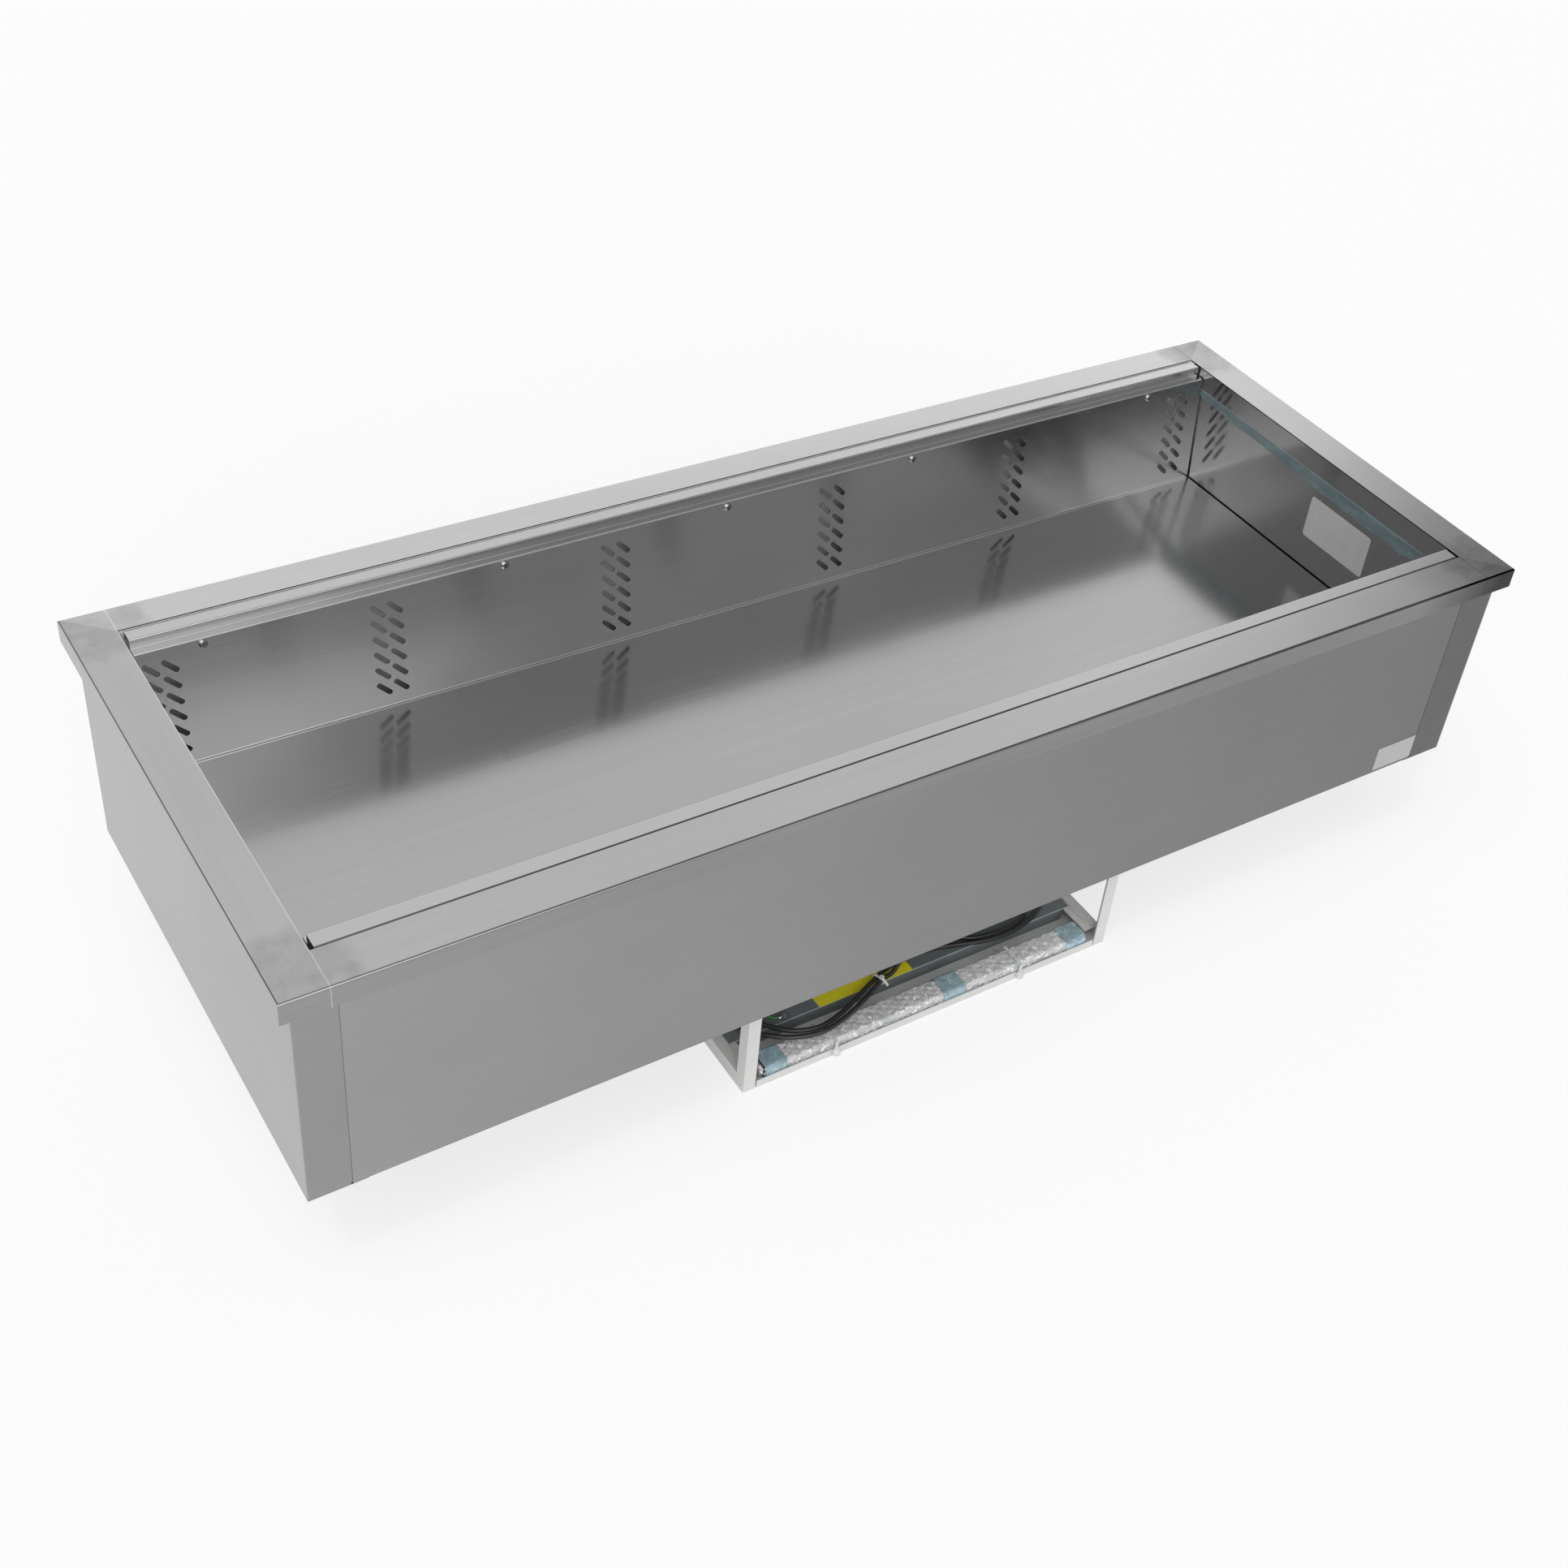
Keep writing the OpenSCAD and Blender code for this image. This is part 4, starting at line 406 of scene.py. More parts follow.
FINISHES = {
    "foam": ("foam_core", dict(colour=(0.80, 0.68, 0.42), rough=0.9, fine=350, depth=0.6)),
    "white_label": ("rating_label", dict(
        colour=(0.49, 0.49, 0.485), rough=0.38, spread=0.03, depth=0.05)),
    "pale_sticker": ("front_sticker", dict(
        colour=(0.42, 0.42, 0.415), rough=0.4, spread=0.03, depth=0.05)),
    "fin_aluminium": ("evaporator_fins condenser_fins condenser_fan", dict(
        colour=(0.70, 0.71, 0.72), rough=0.34, metallic=1.0, grain=(30, 30, 9))),
    "copper": ("evaporator_tubes condenser_tubes filter_drier refrigerant_lines", dict(
        colour=(0.62, 0.31, 0.17), rough=0.32, metallic=1.0, spread=0.18, grain=35)),
    "black_plastic": (
        "fan_frames fan_rotor_left fan_rotor_middle fan_rotor_right compressor_cover mains_gland",
        dict(colour=(0.030, 0.030, 0.031), rough=0.42, spread=0.15)),
    "pipe_steel": ("drain_spigot", dict(
        colour=(0.62, 0.62, 0.62), rough=0.24, metallic=1.0, grain=120)),
    "screw_steel": ("duct_screws", dict(
        colour=(0.30, 0.30, 0.30), rough=0.3, metallic=1.0, grain=200)),
    "valve_brass": ("drain_valve", dict(
        colour=(0.62, 0.47, 0.22), rough=0.34, metallic=1.0, grain=90)),
    "red_plastic": ("drain_lever", dict(colour=(0.50, 0.035, 0.025), rough=0.33)),
    "white_paint": ("frame_left frame_right base_tray", dict(
        colour=(0.68, 0.68, 0.67), rough=0.36, spread=0.04, grain=22, fine=420, depth=0.2)),
    # The unit base's front lip gets a painted highlight along its top edge
    "slate_paint": ("unit_base", dict(
        colour=(0.16, 0.185, 0.19), rough=0.42, spread=0.16, grain=26, fine=500, depth=0.25,
        painted_highlight=(-0.2350, 0.0203, 0.0222, 2.8))),
    "black_paint": ("compressor condenser_motor", dict(
        colour=(0.016, 0.016, 0.017), rough=0.26, spread=0.2, grain=30, fine=380, depth=0.2,
        sockets={"Coat Weight": 0.3})),
    "yellow_film": ("unit_sticker", dict(
        colour=(0.90, 0.81, 0.02), rough=0.35, spread=0.05, grain=40)),
    "rubber": ("compressor_mounts", dict(colour=(0.018, 0.018, 0.018), rough=0.7, spread=0.2)),
    "grey_paint": ("control_box", dict(
        colour=(0.50, 0.50, 0.48), rough=0.4, spread=0.05, fine=420, depth=0.2)),
    "black_gloss": ("controller", dict(colour=(0.014, 0.014, 0.016), rough=0.2, spread=0.1)),
    "grey_plastic": ("key_set key_up key_down", dict(colour=(0.30, 0.30, 0.31), rough=0.45)),
    "green_plastic": ("power_rocker", dict(
        colour=(0.015, 0.16, 0.045), rough=0.18, sockets={"Transmission Weight": 0.25})),
    "lead_rubber": ("mains_lead lead_coil plug", dict(
        colour=(0.020, 0.020, 0.021), rough=0.44, spread=0.2, grain=80)),
    "white_plastic": ("cable_tie", dict(colour=(0.80, 0.80, 0.79), rough=0.35, spread=0.03)),
    "green_wire": ("earth_wire", dict(colour=(0.035, 0.24, 0.06), rough=0.4)),
    "smoked_window": ("", dict(colour=(0.020, 0.006, 0.006), rough=0.08, spread=0.2)),
}
MATERIALS = {}
for make, looks in ((steel, STEELS), (galvanised, ZINC), (clear_film, FILMS), (finish, FINISHES)):
    for look, (names, settings) in looks.items():
        MATERIALS[look] = make(look, **settings)
        for name in names.split():
            data = NODES[name].data
            data.materials.clear()
            data.materials.append(MATERIALS[look])


# Piece helpers
def place(piece, look, slot=None, body="well", replaces=()):
    """Links a piece, dresses it and sets it on its body. The slot argument is not used."""
    slot = slot or look
    SCENE.collection.objects.link(piece)
    piece.data.materials.append(MATERIALS[look])
    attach(piece, body)
    if replaces:
        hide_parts(*replaces)


def in_metres(points):
    return [tuple(c * MM for c in p) for p in points]


def circle(sides):
    """Cosine and sine at each step round a circle."""
    turns = [2 * math.pi * k / sides for k in range(sides)]
    return [(math.cos(a), math.sin(a)) for a in turns]


def between(a, b, sides):
    """Quads between two rings of points, given the first point of each."""
    steps = [(k, (k + 1) % sides) for k in range(sides)]
    return [(a + k, a + n, b + n, b + k) for k, n in steps]


def turned(faces):
    return [tuple(reversed(face)) for face in faces]


def mesh_piece(name, points, faces, smooth=True):
    data = bpy.data.meshes.new(name)
    data.from_pydata([tuple(p) for p in points], [], faces)
    data.validate()
    data.update()
    if smooth:
        data.shade_smooth()
    return bpy.data.objects.new(name, data)


def round_curve(name, radius, sides):
    """An empty curve with a round section and closed ends."""
    data = bpy.data.curves.new(name, "CURVE")
    data.dimensions = "3D"
    data.bevel_depth = radius
    data.bevel_resolution = sides
    data.use_fill_caps = True
    return data


def wire_piece(name, route, radius, steps):
    """Round wire: a smooth spline through the route's points, in mm."""
    route = in_metres(route)
    data = round_curve(name, radius, 4)
    spline = data.splines.new("BEZIER")
    spline.resolution_u = steps
    spline.bezier_points.add(len(route) - 1)
    for i, (knot, point) in enumerate(zip(spline.bezier_points, route)):
        before = route[max(i - 1, 0)]
        after = route[min(i + 1, len(route) - 1)]
        pull = (Vector(after) - Vector(before)) / 6
        knot.handle_left_type = knot.handle_right_type = "FREE"
        knot.co = point
        knot.handle_left = Vector(point) - pull
        knot.handle_right = Vector(point) + pull
    return bpy.data.objects.new(name, data)


def lathe(name, profile, sides, at, axis):
    """Solid of revolution from (radius, height) pairs, moved to a point and turned over to
    lie along Y (axis X) or against X (axis Y). In mm."""
    points = [(r * MM * c, r * MM * s, h * MM) for r, h in profile for c, s in circle(sides)]
    last = (len(profile) - 1) * sides
    faces = []
    for i in range(len(profile) - 1):
        faces += between(i * sides, (i + 1) * sides, sides)
    faces.append(tuple(reversed(range(sides))))
    faces.append(tuple(range(last, last + sides)))
    piece = mesh_piece(name, points, faces)
    move = Matrix.Translation([c * MM for c in at])
    piece.data.transform(move @ Matrix.Rotation(-math.pi / 2, 4, axis))
    return piece


# Mains lead: the route along the front of the unit, doubled back, then the coil
LEAD_D = 6.6
LEAD_ROUTE = [
    (52, -175, 100), (44, -175, 100), (36, -175, 100), (17, -190, 85), (-4, -222, 46),
    (-22, -233, 31), (-45, -238, 28), (-85, -257, 28), (-128, -274, 30), (-167, -281, 31),
    (-205, -270, 29.5), (-234, -247, 27), (-252, -222, 25.5), (-255, -204, 25.5),
    (-245, -194, 25.5), (-234, -201, 25.5), (-228, -226, 26), (-202, -258, 29),
    (-167, -272, 31), (-131, -265.5, 30), (-90, -248.5, 28), (-48, -230.5, 28),
    (-14, -219, 26), (30, -216, 25.5), (60, -220, 25.5), (88, -228, 25.5), (125, -239, 25.5),
    (165, -243, 25.5), (204, -236, 25.5), (236, -220, 25.5), (249, -205, 25.5),
    (246, -193, 25.5), (235, -191, 25.5), (222, -204, 25.5), (203, -226, 25.5),
    (165, -234.5, 25.5), (128, -231, 25.5), (105, -222, 25.5), (93, -208, 25.5),
    (94, -194, 25.5), (107, -185, 25.3), (126, -184, 25.2), (140, -184, 25.2),
]
COIL_X, COIL_Y, COIL_R, COIL_STEP, COIL_TURN = 160, -138, 46, 7.2, 1530
COIL_Z, PLUG_Z = 25.2, 40.3


def coil_point(a):
    """Point of the coil at a degrees: inwards below, outwards on top, then up to the plug."""
    r = COIL_R - COIL_STEP * min(a, COIL_TURN - a) / 360
    climb = min(max((a - COIL_TURN / 2 + 90) / 180, 0), 1)
    lift = max((a - COIL_TURN + 180) / 180, 0)
    height = COIL_Z + COIL_STEP * climb + (PLUG_Z - COIL_Z - COIL_STEP) * lift
    angle = math.radians(a)
    return (COIL_X + r * math.sin(angle), COIL_Y - r * math.cos(angle), height)


lead_points = LEAD_ROUTE + [(COIL_X - LEAD_D, COIL_Y - COIL_R, COIL_Z)]
lead_points += [coil_point(a) for a in range(0, COIL_TURN + 1, 15)]
lead_points.append((COIL_X + COIL_R, COIL_Y + LEAD_D, PLUG_Z))
lead = wire_piece("mains_cable", lead_points, LEAD_D / 2 * MM, 5)
place(lead, "lead_rubber", replaces=("mains_lead", "lead_coil"))

# Strain relief: a tapered, ribbed sleeve on the gland
RELIEF_AT = (56, -175, 100)
RELIEF_RINGS, RELIEF_PITCH = 24, 0.9
RELIEF_R, RELIEF_TAPER, RELIEF_RIB = 6.1, 2.2, 0.35
relief_profile = []
for i in range(RELIEF_RINGS + 1):
    share = i / RELIEF_RINGS
    rib = RELIEF_RIB if (i // 2) % 2 else 0.0
    relief_profile.append((RELIEF_R - RELIEF_TAPER * share + rib, i * RELIEF_PITCH))
relief = lathe("strain_relief", relief_profile, 32, RELIEF_AT, "Y")
place(relief, "lead_rubber")

# Plug: a moulded body with finger ribs and two round pins
PLUG_X, PLUG_Y = COIL_X + COIL_R, COIL_Y + LEAD_D
PLUG_RIBS, PIN_OFFSET = 9, 9.5
body_profile = [(3.4, 0), (4.6, 0.3), (5.0, 1.5)]
for i in range(PLUG_RIBS):
    body_profile += [(5.0 + 0.25 * i, 3 + 2.4 * i), (4.5 + 0.25 * i, 4.2 + 2.4 * i)]
body_profile += [(7.4, 25), (10.2, 28), (12.2, 31.5), (13.0, 36), (13.2, 41), (14.2, 45),
                 (16.8, 47.5), (18.2, 49), (18.5, 51), (18.5, 55.5), (18.0, 56.6), (17.2, 57)]
plug = lathe("mains_plug", body_profile, 64, (PLUG_X, PLUG_Y, PLUG_Z), "X")
place(plug, "lead_rubber", replaces=("plug",))
pin_profile = [(2.4, 56.5), (2.4, 73.6), (2.2, 75.0), (1.5, 75.8), (0.6, 76)]
for side, name in ((-1, "plug_pin_left"), (1, "plug_pin_right")):
    at = (PLUG_X + side * PIN_OFFSET, PLUG_Y, PLUG_Z)
    place(lathe(name, pin_profile, 32, at, "X"), "pipe_steel")

# Earth wire, with the ring and the barrel of its terminal
EARTH_ROUTE = [(-198, -230, 25.5), (-206, -227, 25.5), (-215, -218, 26), (-220, -206, 28),
               (-228, -202, 30.5), (-229.25, -198, 31), (-229.25, -194, 31), (-229.25, -190, 31)]
EARTH_R = 1.5
STUD = (-192, -230)
RING_SECTION = [(2.6, 24.9), (5.0, 24.9), (5.0, 26.1), (2.6, 26.1)]
RING_SIDES = 40
BARREL_AT = (-196.4, -230, 25.5)
place(wire_piece("earth_lead", EARTH_ROUTE, EARTH_R * MM, 6), "green_wire",
      replaces=("earth_wire",))
ring_points = [((STUD[0] + r * c) * MM, (STUD[1] + r * s) * MM, z * MM)
               for r, z in RING_SECTION for c, s in circle(RING_SIDES)]
ring_faces = []
for i in range(len(RING_SECTION)):
    after = (i + 1) % len(RING_SECTION)
    ring_faces += between(i * RING_SIDES, after * RING_SIDES, RING_SIDES)
place(mesh_piece("earth_ring", ring_points, ring_faces, smooth=False), "pipe_steel")
barrel_profile = [(1.7, 0), (2.0, 0.3), (2.0, 4.4), (1.7, 4.7)]
place(lathe("earth_barrel", barrel_profile, 24, BARREL_AT, "Y"), "pipe_steel")


# Refrigerant lines with round bends
BEND_STEPS = 6


def pipe_run(points, radius):
    """The points with each corner rounded to a radius."""
    run = [Vector(points[0])]
    for a, b, c in zip(points, points[1:], points[2:]):
        a, b, c = Vector(a), Vector(b), Vector(c)
        u, v = (b - a).normalized(), (c - b).normalized()
        turn = u.angle(v)
        middle = b + (v - u).normalized() * radius / math.cos(turn / 2)
        w = (b - u * radius * math.tan(turn / 2) - middle).normalized()
        for j in range(BEND_STEPS + 1):
            s = turn * j / BEND_STEPS
            run.append(middle + radius * (math.cos(s) * w + math.sin(s) * u))
    run.append(Vector(points[-1]))
    return run


def pipe_piece(name, points, bend, radius):
    data = round_curve(name, radius * MM, 5)
    run = pipe_run(points, bend)
    spline = data.splines.new("POLY")
    spline.points.add(len(run) - 1)
    for knot, point in zip(spline.points, run):
        knot.co = (*(point * MM), 1.0)
    return bpy.data.objects.new(name, data)


# Name, radius of the bends, radius of the pipe and corner points
PIPES = [
    ("suction_line", 12, 5, [
        (634, -46.25, 281), (664, -46.25, 281), (664, -95, 228), (240, -95, 228),
        (240, -95, 147), (240, -60, 104.5), (240, 90, 104.5), (210, 90, 104.5)]),
    ("liquid_line", 10, 3, [
        (634, -46.25, 241), (650, -46.25, 241), (650, -78, 227), (240, -78, 227),
        (240, -78, 147), (200, -78, 117), (155, -60, 50), (120, -60, 50)]),
    ("discharge_line", 12, 4, [
        (30, 90, 119.5), (4, 90, 119.5), (4, 50, 147.5), (4, -148.75, 147.5),
        (-24, -148.75, 147.5)]),
    ("outlet_line", 9, 3, [
        (-24, -176.25, 147.5), (16, -176.25, 147.5), (16, -120, 70), (-15, -60, 50),
        (15, -60, 50)]),
]
for i, (name, bend, radius, route) in enumerate(PIPES):
    place(pipe_piece(name, route, bend, radius), "copper",
          replaces=("refrigerant_lines",) if i == 0 else ())

# Bubble wrap round the divider bars, with its tape, in mm
WRAP_L, WRAP_D, WRAP_H, WRAP_R = 532, 35, 23, 6
WRAP_Y, WRAP_Z = -280, 13.4
ROUND_STEPS = 96
COLUMN_PITCH = 1.7
BUBBLES_ROUND = 10
CRINKLE_ALONG, CRINKLE_ACROSS = 0.09, 0.16
BUBBLE_RISE, CRINKLE_RISE = 1.45, 0.45
INSET_MIN, INSET_MAX, INSET_FLAT = 0.12, 1.9, 1.75
# Ends: length drawn in, how far, the pleats round them, and the inward tuck closing them
END_L, END_PINCH, PLEATS, PLEAT_DEPTH = 16, 0.5, 9, 0.09
TUCK_SHARE, TUCK_L = 0.45, 3
WRAP_LOWEST, TAPE_LOWEST = 1.65, (1.62, 1.56)
TAPE_BANDS = {"tape_left": (-260, -228), "tape_middle": (20, 55), "tape_right": (228, 262)}
TAPE_T, TAPE_COLUMNS, TAPE_SEED = 0.25, 22, 7.3
# How ragged its cut ends are, its share of the folds under it, and how it lies on them
TAPE_RAGGED, TAPE_WANDER = 0.8, 0.4
TAPE_CRINKLE, TAPE_BUBBLE = 0.35, 0.25
TAPE_MIN, TAPE_MAX, TAPE_FLAT, TAPE_FOLD = -0.12, 0.1, 0.05, 0.3


def wrap_outline():
    """Points and outward normals round the bundle, evenly spaced, and its girth."""
    w, h = WRAP_D / 2 - WRAP_R, WRAP_H / 2 - WRAP_R
    arc = math.pi * WRAP_R / 2
    legs = [2 * h, arc, 2 * w, arc] * 2
    centres = [(w, h), (-w, h), (-w, -h), (w, -h)]
    total = sum(legs)
    out = []
    for k in range(ROUND_STEPS):
        s = total * k / ROUND_STEPS
        leg = 0
        while s > legs[leg]:
            s -= legs[leg]
            leg += 1
        corner, on_arc = divmod(leg, 2)
        turn = math.pi / 2 * corner + (s / WRAP_R if on_arc else 0.0)
        back = 0.0 if on_arc else legs[leg] - s
        ny, nz = math.cos(turn), math.sin(turn)
        cy, cz = centres[corner]
        point = (cy + WRAP_R * ny + back * nz, cz + WRAP_R * nz - back * ny)
        out.append((point, (ny, nz)))
    return out, total


OUTLINE, GIRTH = wrap_outline()
BUBBLE_PITCH = GIRTH / BUBBLES_ROUND
BUBBLE_R = 0.46 * BUBBLE_PITCH


def bubble(x, s):
    """Height of the bubbles, from 0 between them to 1 on their tops."""
    row_pitch = BUBBLE_PITCH * math.sqrt(3) / 2
    row = round(x / row_pitch)
    best = 0.0
    for r in (row - 1, row, row + 1):
        shift = BUBBLE_PITCH / 2 if r % 2 else 0.0
        column = round((s - shift) / BUBBLE_PITCH)
        away = math.hypot(x - r * row_pitch, s - shift - column * BUBBLE_PITCH)
        if away < BUBBLE_R:
            chance = noise.noise(Vector((r * 3.7, (column % BUBBLES_ROUND) * 5.1, 0.3)))
            flat = 0.25 + 0.75 * (chance * 0.5 + 0.5)
            best = max(best, flat * math.sqrt(1 - (away / BUBBLE_R) ** 2))
    return best


def crinkle(x, k):
    """Fractal noise at x and k steps round the bundle."""
    (y, z), _ = OUTLINE[k]
    at = Vector((x * CRINKLE_ALONG, y * CRINKLE_ACROSS, z * CRINKLE_ACROSS))
    return noise.fractal(at, 0.7, 2.2, 4)


def wrap_inset(x, k):
    """Depth of the wrapping below its outer face, at x and k steps round."""
    s = GIRTH * k / ROUND_STEPS
    rise = BUBBLE_RISE * bubble(x, s) + CRINKLE_RISE * crinkle(x, k)
    return min(INSET_MAX, max(INSET_MIN, INSET_FLAT - rise))


def wrap_point(x, k):
    (y, z), (ny, nz) = OUTLINE[k]
    inset = wrap_inset(x, k)
    end = max(0.0, (abs(x) - WRAP_L / 2 + END_L) / END_L)
    angle = 2 * math.pi * k / ROUND_STEPS
    sway = 3 * noise.noise(Vector((x * 0.2, 0, angle)))
    pleat = PLEAT_DEPTH * end * math.sin(PLEATS * angle + sway)
    pinch = 1 - END_PINCH * end ** 2 + pleat
    y, z = (y - ny * inset) * pinch, (z - nz * inset) * pinch
    return (x * MM, (WRAP_Y + y) * MM, max(WRAP_Z + z, WRAP_LOWEST) * MM)


def make_wrap():
    columns = int(WRAP_L / COLUMN_PITCH)
    places = [-WRAP_L / 2 + WRAP_L * i / columns for i in range(columns + 1)]
    points = [wrap_point(x, k) for x in places for k in range(ROUND_STEPS)]
    faces = []
    for i in range(columns):
        faces += between(i * ROUND_STEPS, (i + 1) * ROUND_STEPS, ROUND_STEPS)
    for first, outward in ((0, -1), (columns * ROUND_STEPS, 1)):
        tuck = len(points)
        for point in points[first:first + ROUND_STEPS]:
            p = Vector(point)
            q = Vector((p.x, WRAP_Y * MM, WRAP_Z * MM)).lerp(p, TUCK_SHARE)
            q.x -= outward * TUCK_L * MM
            points.append(tuple(q))
        cap = between(first, tuck, ROUND_STEPS) + [tuple(range(tuck, tuck + ROUND_STEPS))]
        faces += cap if outward > 0 else turned(cap)
    place(mesh_piece("bubble_wrapping", points, faces), "bubble_film",
          replaces=("bubble_wrap",))


def tape_point(x0, x1, seed, layer, i, k):
    """Point of the tape in column i, k steps round: layer 0 is its inner face."""
    (y, z), (ny, nz) = OUTLINE[k]
    edge = TAPE_RAGGED * noise.noise(Vector((seed, k * 0.3, i // TAPE_COLUMNS)))
    if i not in (0, TAPE_COLUMNS):
        edge *= TAPE_WANDER
    x = x0 + (x1 - x0) * i / TAPE_COLUMNS + edge
    fold = TAPE_CRINKLE * crinkle(x + seed, k) + TAPE_BUBBLE * bubble(x, GIRTH * k / ROUND_STEPS)
    inset = min(TAPE_MAX, max(TAPE_MIN, TAPE_FLAT - TAPE_FOLD * fold)) - TAPE_T * layer
    height = max(WRAP_Z + z - nz * inset, TAPE_LOWEST[layer])
    return (x * MM, (WRAP_Y + y - ny * inset) * MM, height * MM)


def make_tape(name, x0, x1, seed, replaces):
    points = [tape_point(x0, x1, seed, layer, i, k)
              for layer in (0, 1) for i in range(TAPE_COLUMNS + 1) for k in range(ROUND_STEPS)]
    outer = (TAPE_COLUMNS + 1) * ROUND_STEPS
    last = TAPE_COLUMNS * ROUND_STEPS
    faces = []
    for a in range(0, last, ROUND_STEPS):
        b = a + ROUND_STEPS
        for (p, q, r, s), quad in zip(between(a, b, ROUND_STEPS),
                                      between(outer + a, outer + b, ROUND_STEPS)):
            faces += [(p, s, r, q), quad]
    faces += between(0, outer, ROUND_STEPS)
    faces += turned(between(last, outer + last, ROUND_STEPS))
    place(mesh_piece(name, points, faces), "blue_tape", replaces=replaces)


make_wrap()
for i, (name, (x0, x1)) in enumerate(TAPE_BANDS.items()):
    make_tape(name, x0, x1, TAPE_SEED * i, ("tape_bands",) if i == 0 else ())

# Window of the controller, set in its face, in mm
WINDOW_X, WINDOW_Y, WINDOW_Z = (91.2, 144.8), -227.75, (129.3, 150.7)
WINDOW_CORNER, WINDOW_STEPS = 2.0, 6
# Depth behind the face and scale of each ring, from the back to the bevelled front
WINDOW_RINGS = ((0.5, 1.0), (0.1, 1.0), (0.0, 0.975))


def make_window():
    (x0, x1), (z0, z1) = WINDOW_X, WINDOW_Z
    cx, cz = (x0 + x1) / 2, (z0 + z1) / 2
    outline = []
    for corner_x, corner_z, start in ((x1, z0, -90), (x1, z1, 0), (x0, z1, 90), (x0, z0, 180)):
        mx = corner_x + (-1 if corner_x == x1 else 1) * WINDOW_CORNER
        mz = corner_z + (-1 if corner_z == z1 else 1) * WINDOW_CORNER
        for j in range(WINDOW_STEPS + 1):
            a = math.radians(start + 90 * j / WINDOW_STEPS)
            outline.append((mx + WINDOW_CORNER * math.cos(a), mz + WINDOW_CORNER * math.sin(a)))
    count = len(outline)
    points = [((cx + (px - cx) * scale) * MM, (WINDOW_Y + behind) * MM,
               (cz + (pz - cz) * scale) * MM)
              for behind, scale in WINDOW_RINGS for px, pz in outline]
    faces = between(0, count, count) + between(count, 2 * count, count)
    faces += [tuple(range(2 * count, 3 * count)), tuple(reversed(range(count)))]
    place(mesh_piece("controller_window", points, faces, smooth=False), "smoked_window",
          slot="black_gloss")


make_window()


# Floor, world and lamps
def seen_ray(tree, glossy):
    """1 for camera and transmission rays, and for glossy rays if asked."""
    path = add(tree, "LightPath").outputs
    seen = maths(tree, "MAXIMUM", path["Is Camera Ray"], path["Is Transmission Ray"])
    return maths(tree, "MAXIMUM", seen, path["Is Glossy Ray"]) if glossy else seen


FLOOR, FLOOR_TONE = 30.0, 0.93
# What is seen of the floor is part white light, so that its shadow stays soft and pale
FLOOR_GLOW = 0.7
WHITE = (1.0, 1.0, 1.0, 1.0)


def make_floor():
    data = bpy.data.meshes.new("studio_floor")
    corners = [(-FLOOR, -FLOOR, 0), (FLOOR, -FLOOR, 0), (FLOOR, FLOOR, 0), (-FLOOR, FLOOR, 0)]
    data.from_pydata(corners, [], [(0, 1, 2, 3)])
    floor = bpy.data.objects.new("studio_floor", data)
    SCENE.collection.objects.link(floor)
    material, tree, shader = new_material("studio_floor")
    shader.inputs["Base Color"].default_value = (FLOOR_TONE, FLOOR_TONE, FLOOR_TONE, 1.0)
    shader.inputs["Roughness"].default_value = 1.0
    shader.inputs["Specular IOR Level"].default_value = 0.0
    glow = add(tree, "Emission", {"Color": WHITE, "Strength": 1.0})
    share = maths(tree, "MULTIPLY", seen_ray(tree, glossy=True), FLOOR_GLOW)
    mixed = add(tree, "MixShader", {"Fac": share})
    tree.links.new(shader.outputs["BSDF"], mixed.inputs[1])
    tree.links.new(glow.outputs["Emission"], mixed.inputs[2])
    tree.links.new(mixed.outputs["Shader"], tree.nodes["Material Output"].inputs["Surface"])
    data.materials.append(material)


make_floor()

# Studio round the object: level of the reflected light by compass bearing, in degrees
# from the back towards the right, then white near the horizon and pale overhead
STUDIO = [
    (-180, 1.35), (-163, 1.3), (-148, 0.6), (-141, 2.2), (-134, 2.2), (-130.5, 0.75),
    (-120, 0.6), (-108, 0.36), (-60, 0.28), (-43, 0.34), (-24, 0.5), (-6, 0.85), (40, 0.88),
    (46, 0.95), (50, 0.9), (53, 0.66), (55.5, 0.32), (70, 0.28), (110, 0.28), (126, 0.45),
    (140, 0.45), (156, 0.5), (163, 1.3), (180, 1.35),
]
HORIZON, OVERHEAD, OVERHEAD_LEVEL = (0.0, 0.1), (0.85, 0.97), 0.5
# The back is brighter by this share below these heights
LOW_BACK, LOW_BACK_GAIN = (0.47, 0.57), 0.3
# Level of the light that falls on the object and isn't mirrored
AMBIENT = 0.45


def blend(tree, factor, low, high):
    return add(tree, "Mix", {"Factor": factor, "A": low, "B": high}).outputs["Result"]


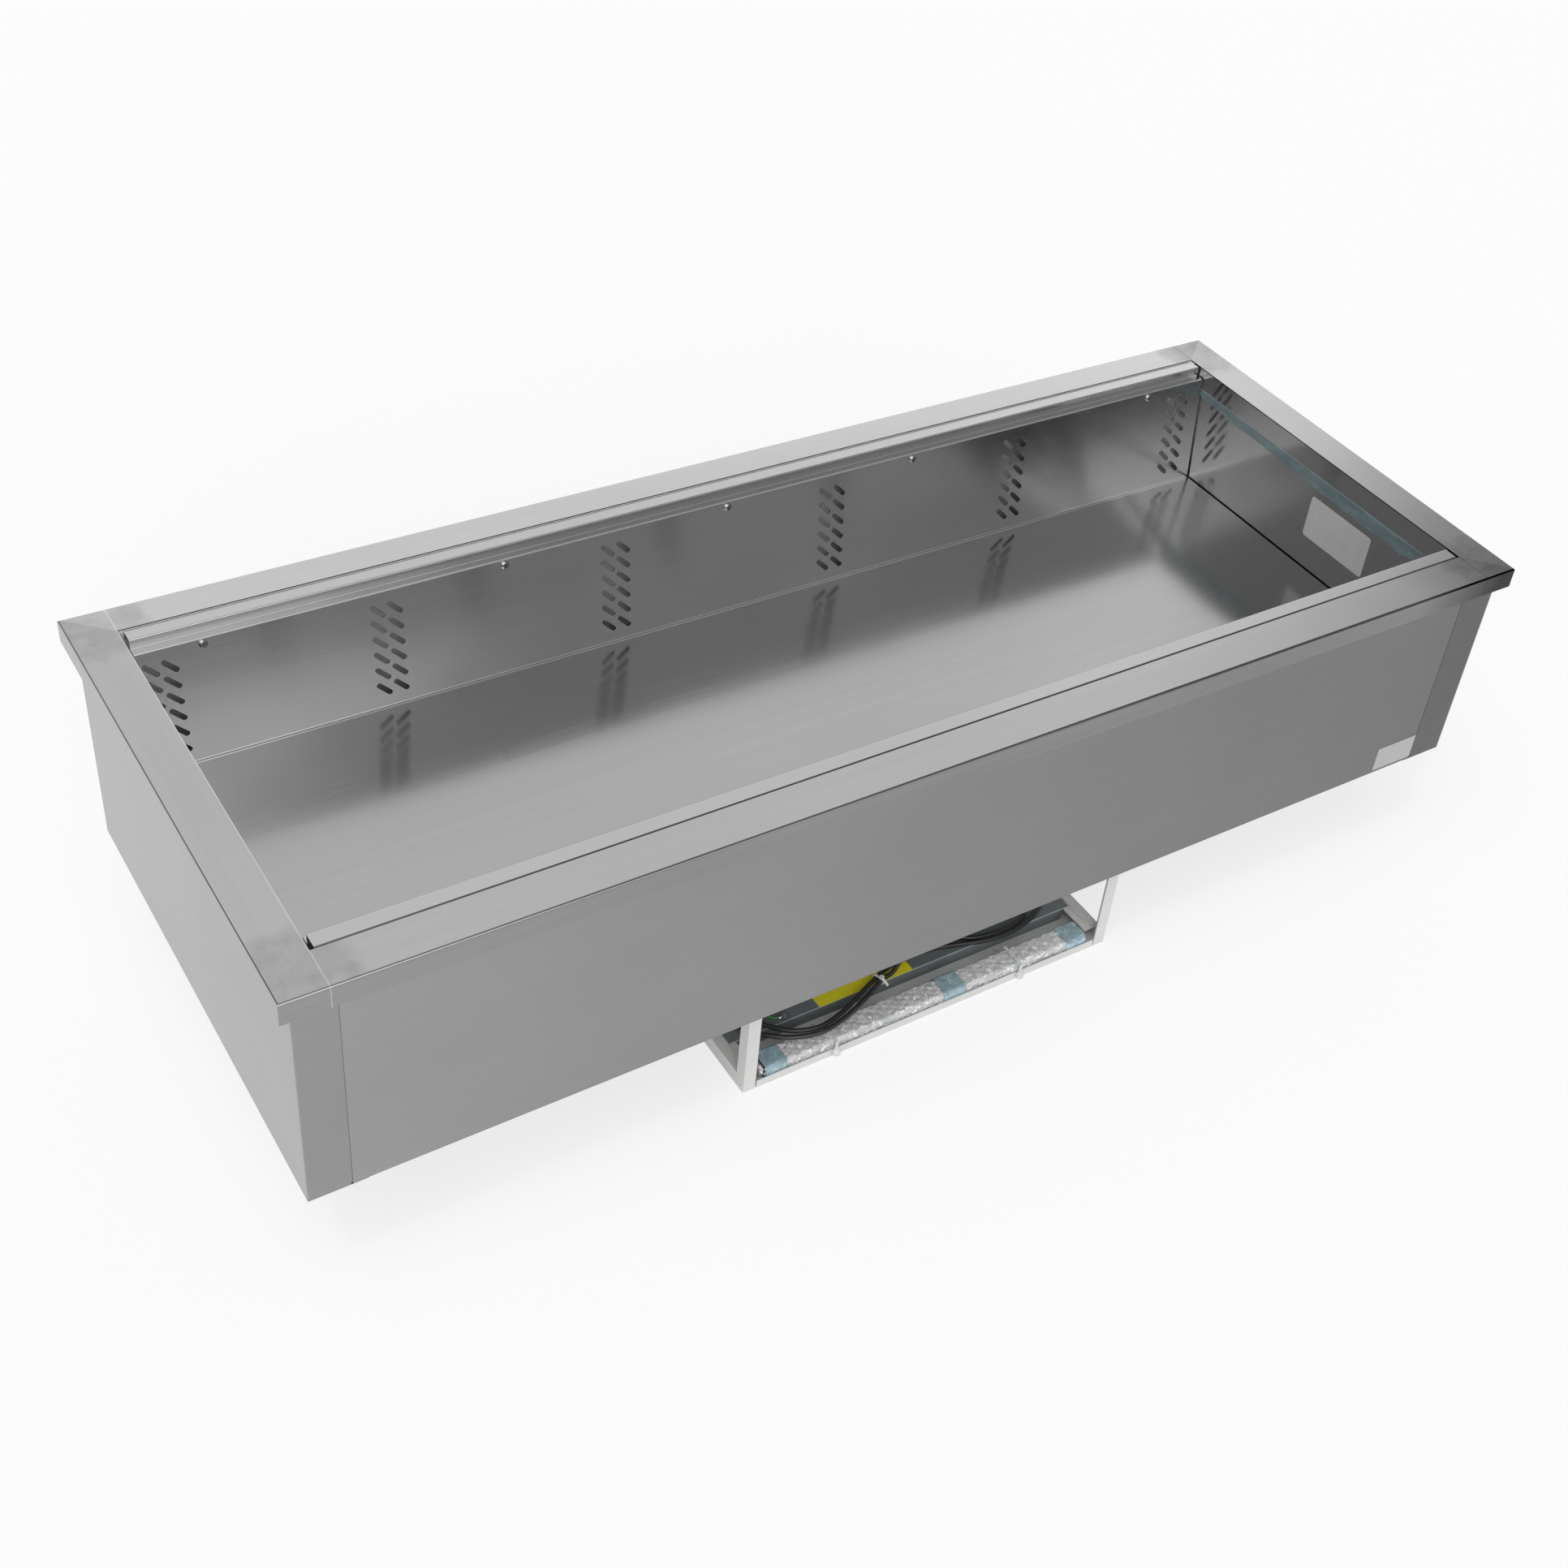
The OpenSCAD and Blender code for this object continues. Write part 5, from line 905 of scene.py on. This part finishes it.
def studio_ring(tree, direction):
    """Level of the light by compass bearing."""
    bearing = maths(tree, "ARCTAN2", direction["X"], direction["Y"])
    ring = add(tree, "ValToRGB", {"Fac": remap(tree, bearing, 0, 1, -math.pi, math.pi)})
    ring.color_ramp.interpolation = "EASE"
    stops = ring.color_ramp.elements
    for angle, tone in STUDIO:
        share = angle / 360 + 0.5
        at_end = share in (0.0, 1.0)
        stop = stops[-1 if share else 0] if at_end else stops.new(share)
        stop.color = (tone, tone, tone, 1.0)
    return ring.outputs["Color"]


def make_world():
    world = bpy.data.worlds.new("studio")
    SCENE.world = world
    world.use_nodes = True
    tree = world.node_tree
    coord = add(tree, "TexCoord")
    direction = add(tree, "SeparateXYZ", {"Vector": coord.outputs["Generated"]}).outputs
    height = direction["Z"]
    low = maths(tree, "MULTIPLY", remap(tree, height, LOW_BACK_GAIN, 0.0, *LOW_BACK),
                maths(tree, "GREATER_THAN", direction["Y"], 0.0))
    level = maths(tree, "MULTIPLY", studio_ring(tree, direction), maths(tree, "ADD", low, 1.0))
    level = blend(tree, remap(tree, height, 0, 1, *HORIZON, "SMOOTHSTEP"), 1.0, level)
    level = blend(tree, remap(tree, height, 0, 1, *OVERHEAD, "SMOOTHSTEP"), level,
                  OVERHEAD_LEVEL)
    level = blend(tree, add(tree, "LightPath").outputs["Is Glossy Ray"], AMBIENT, level)
    level = blend(tree, seen_ray(tree, glossy=False), level, 1.0)
    tree.links.new(level, tree.nodes["Background"].inputs["Strength"])
    tree.nodes["Background"].inputs["Color"].default_value = WHITE


make_world()

# Lamps: name, direction they shine from, strength and angle across in degrees
LAMPS = [
    ("key", (-0.45, -0.35, 1.3), 1.2, 52),
    ("flash", (-0.45, -0.35, 1.3), 0.3, 5),
    ("fill", (-0.3, -1.0, 0.45), 0.8, 36),
]
for name, toward, strength, angle in LAMPS:
    data = bpy.data.lights.new(name, "SUN")
    data.energy = strength
    data.angle = math.radians(angle)
    lamp = bpy.data.objects.new(name, data)
    SCENE.collection.objects.link(lamp)
    lamp.rotation_mode = "QUATERNION"
    lamp.rotation_quaternion = Vector(toward).to_track_quat("Z", "Y")

SCENE.view_settings.view_transform = "Standard"
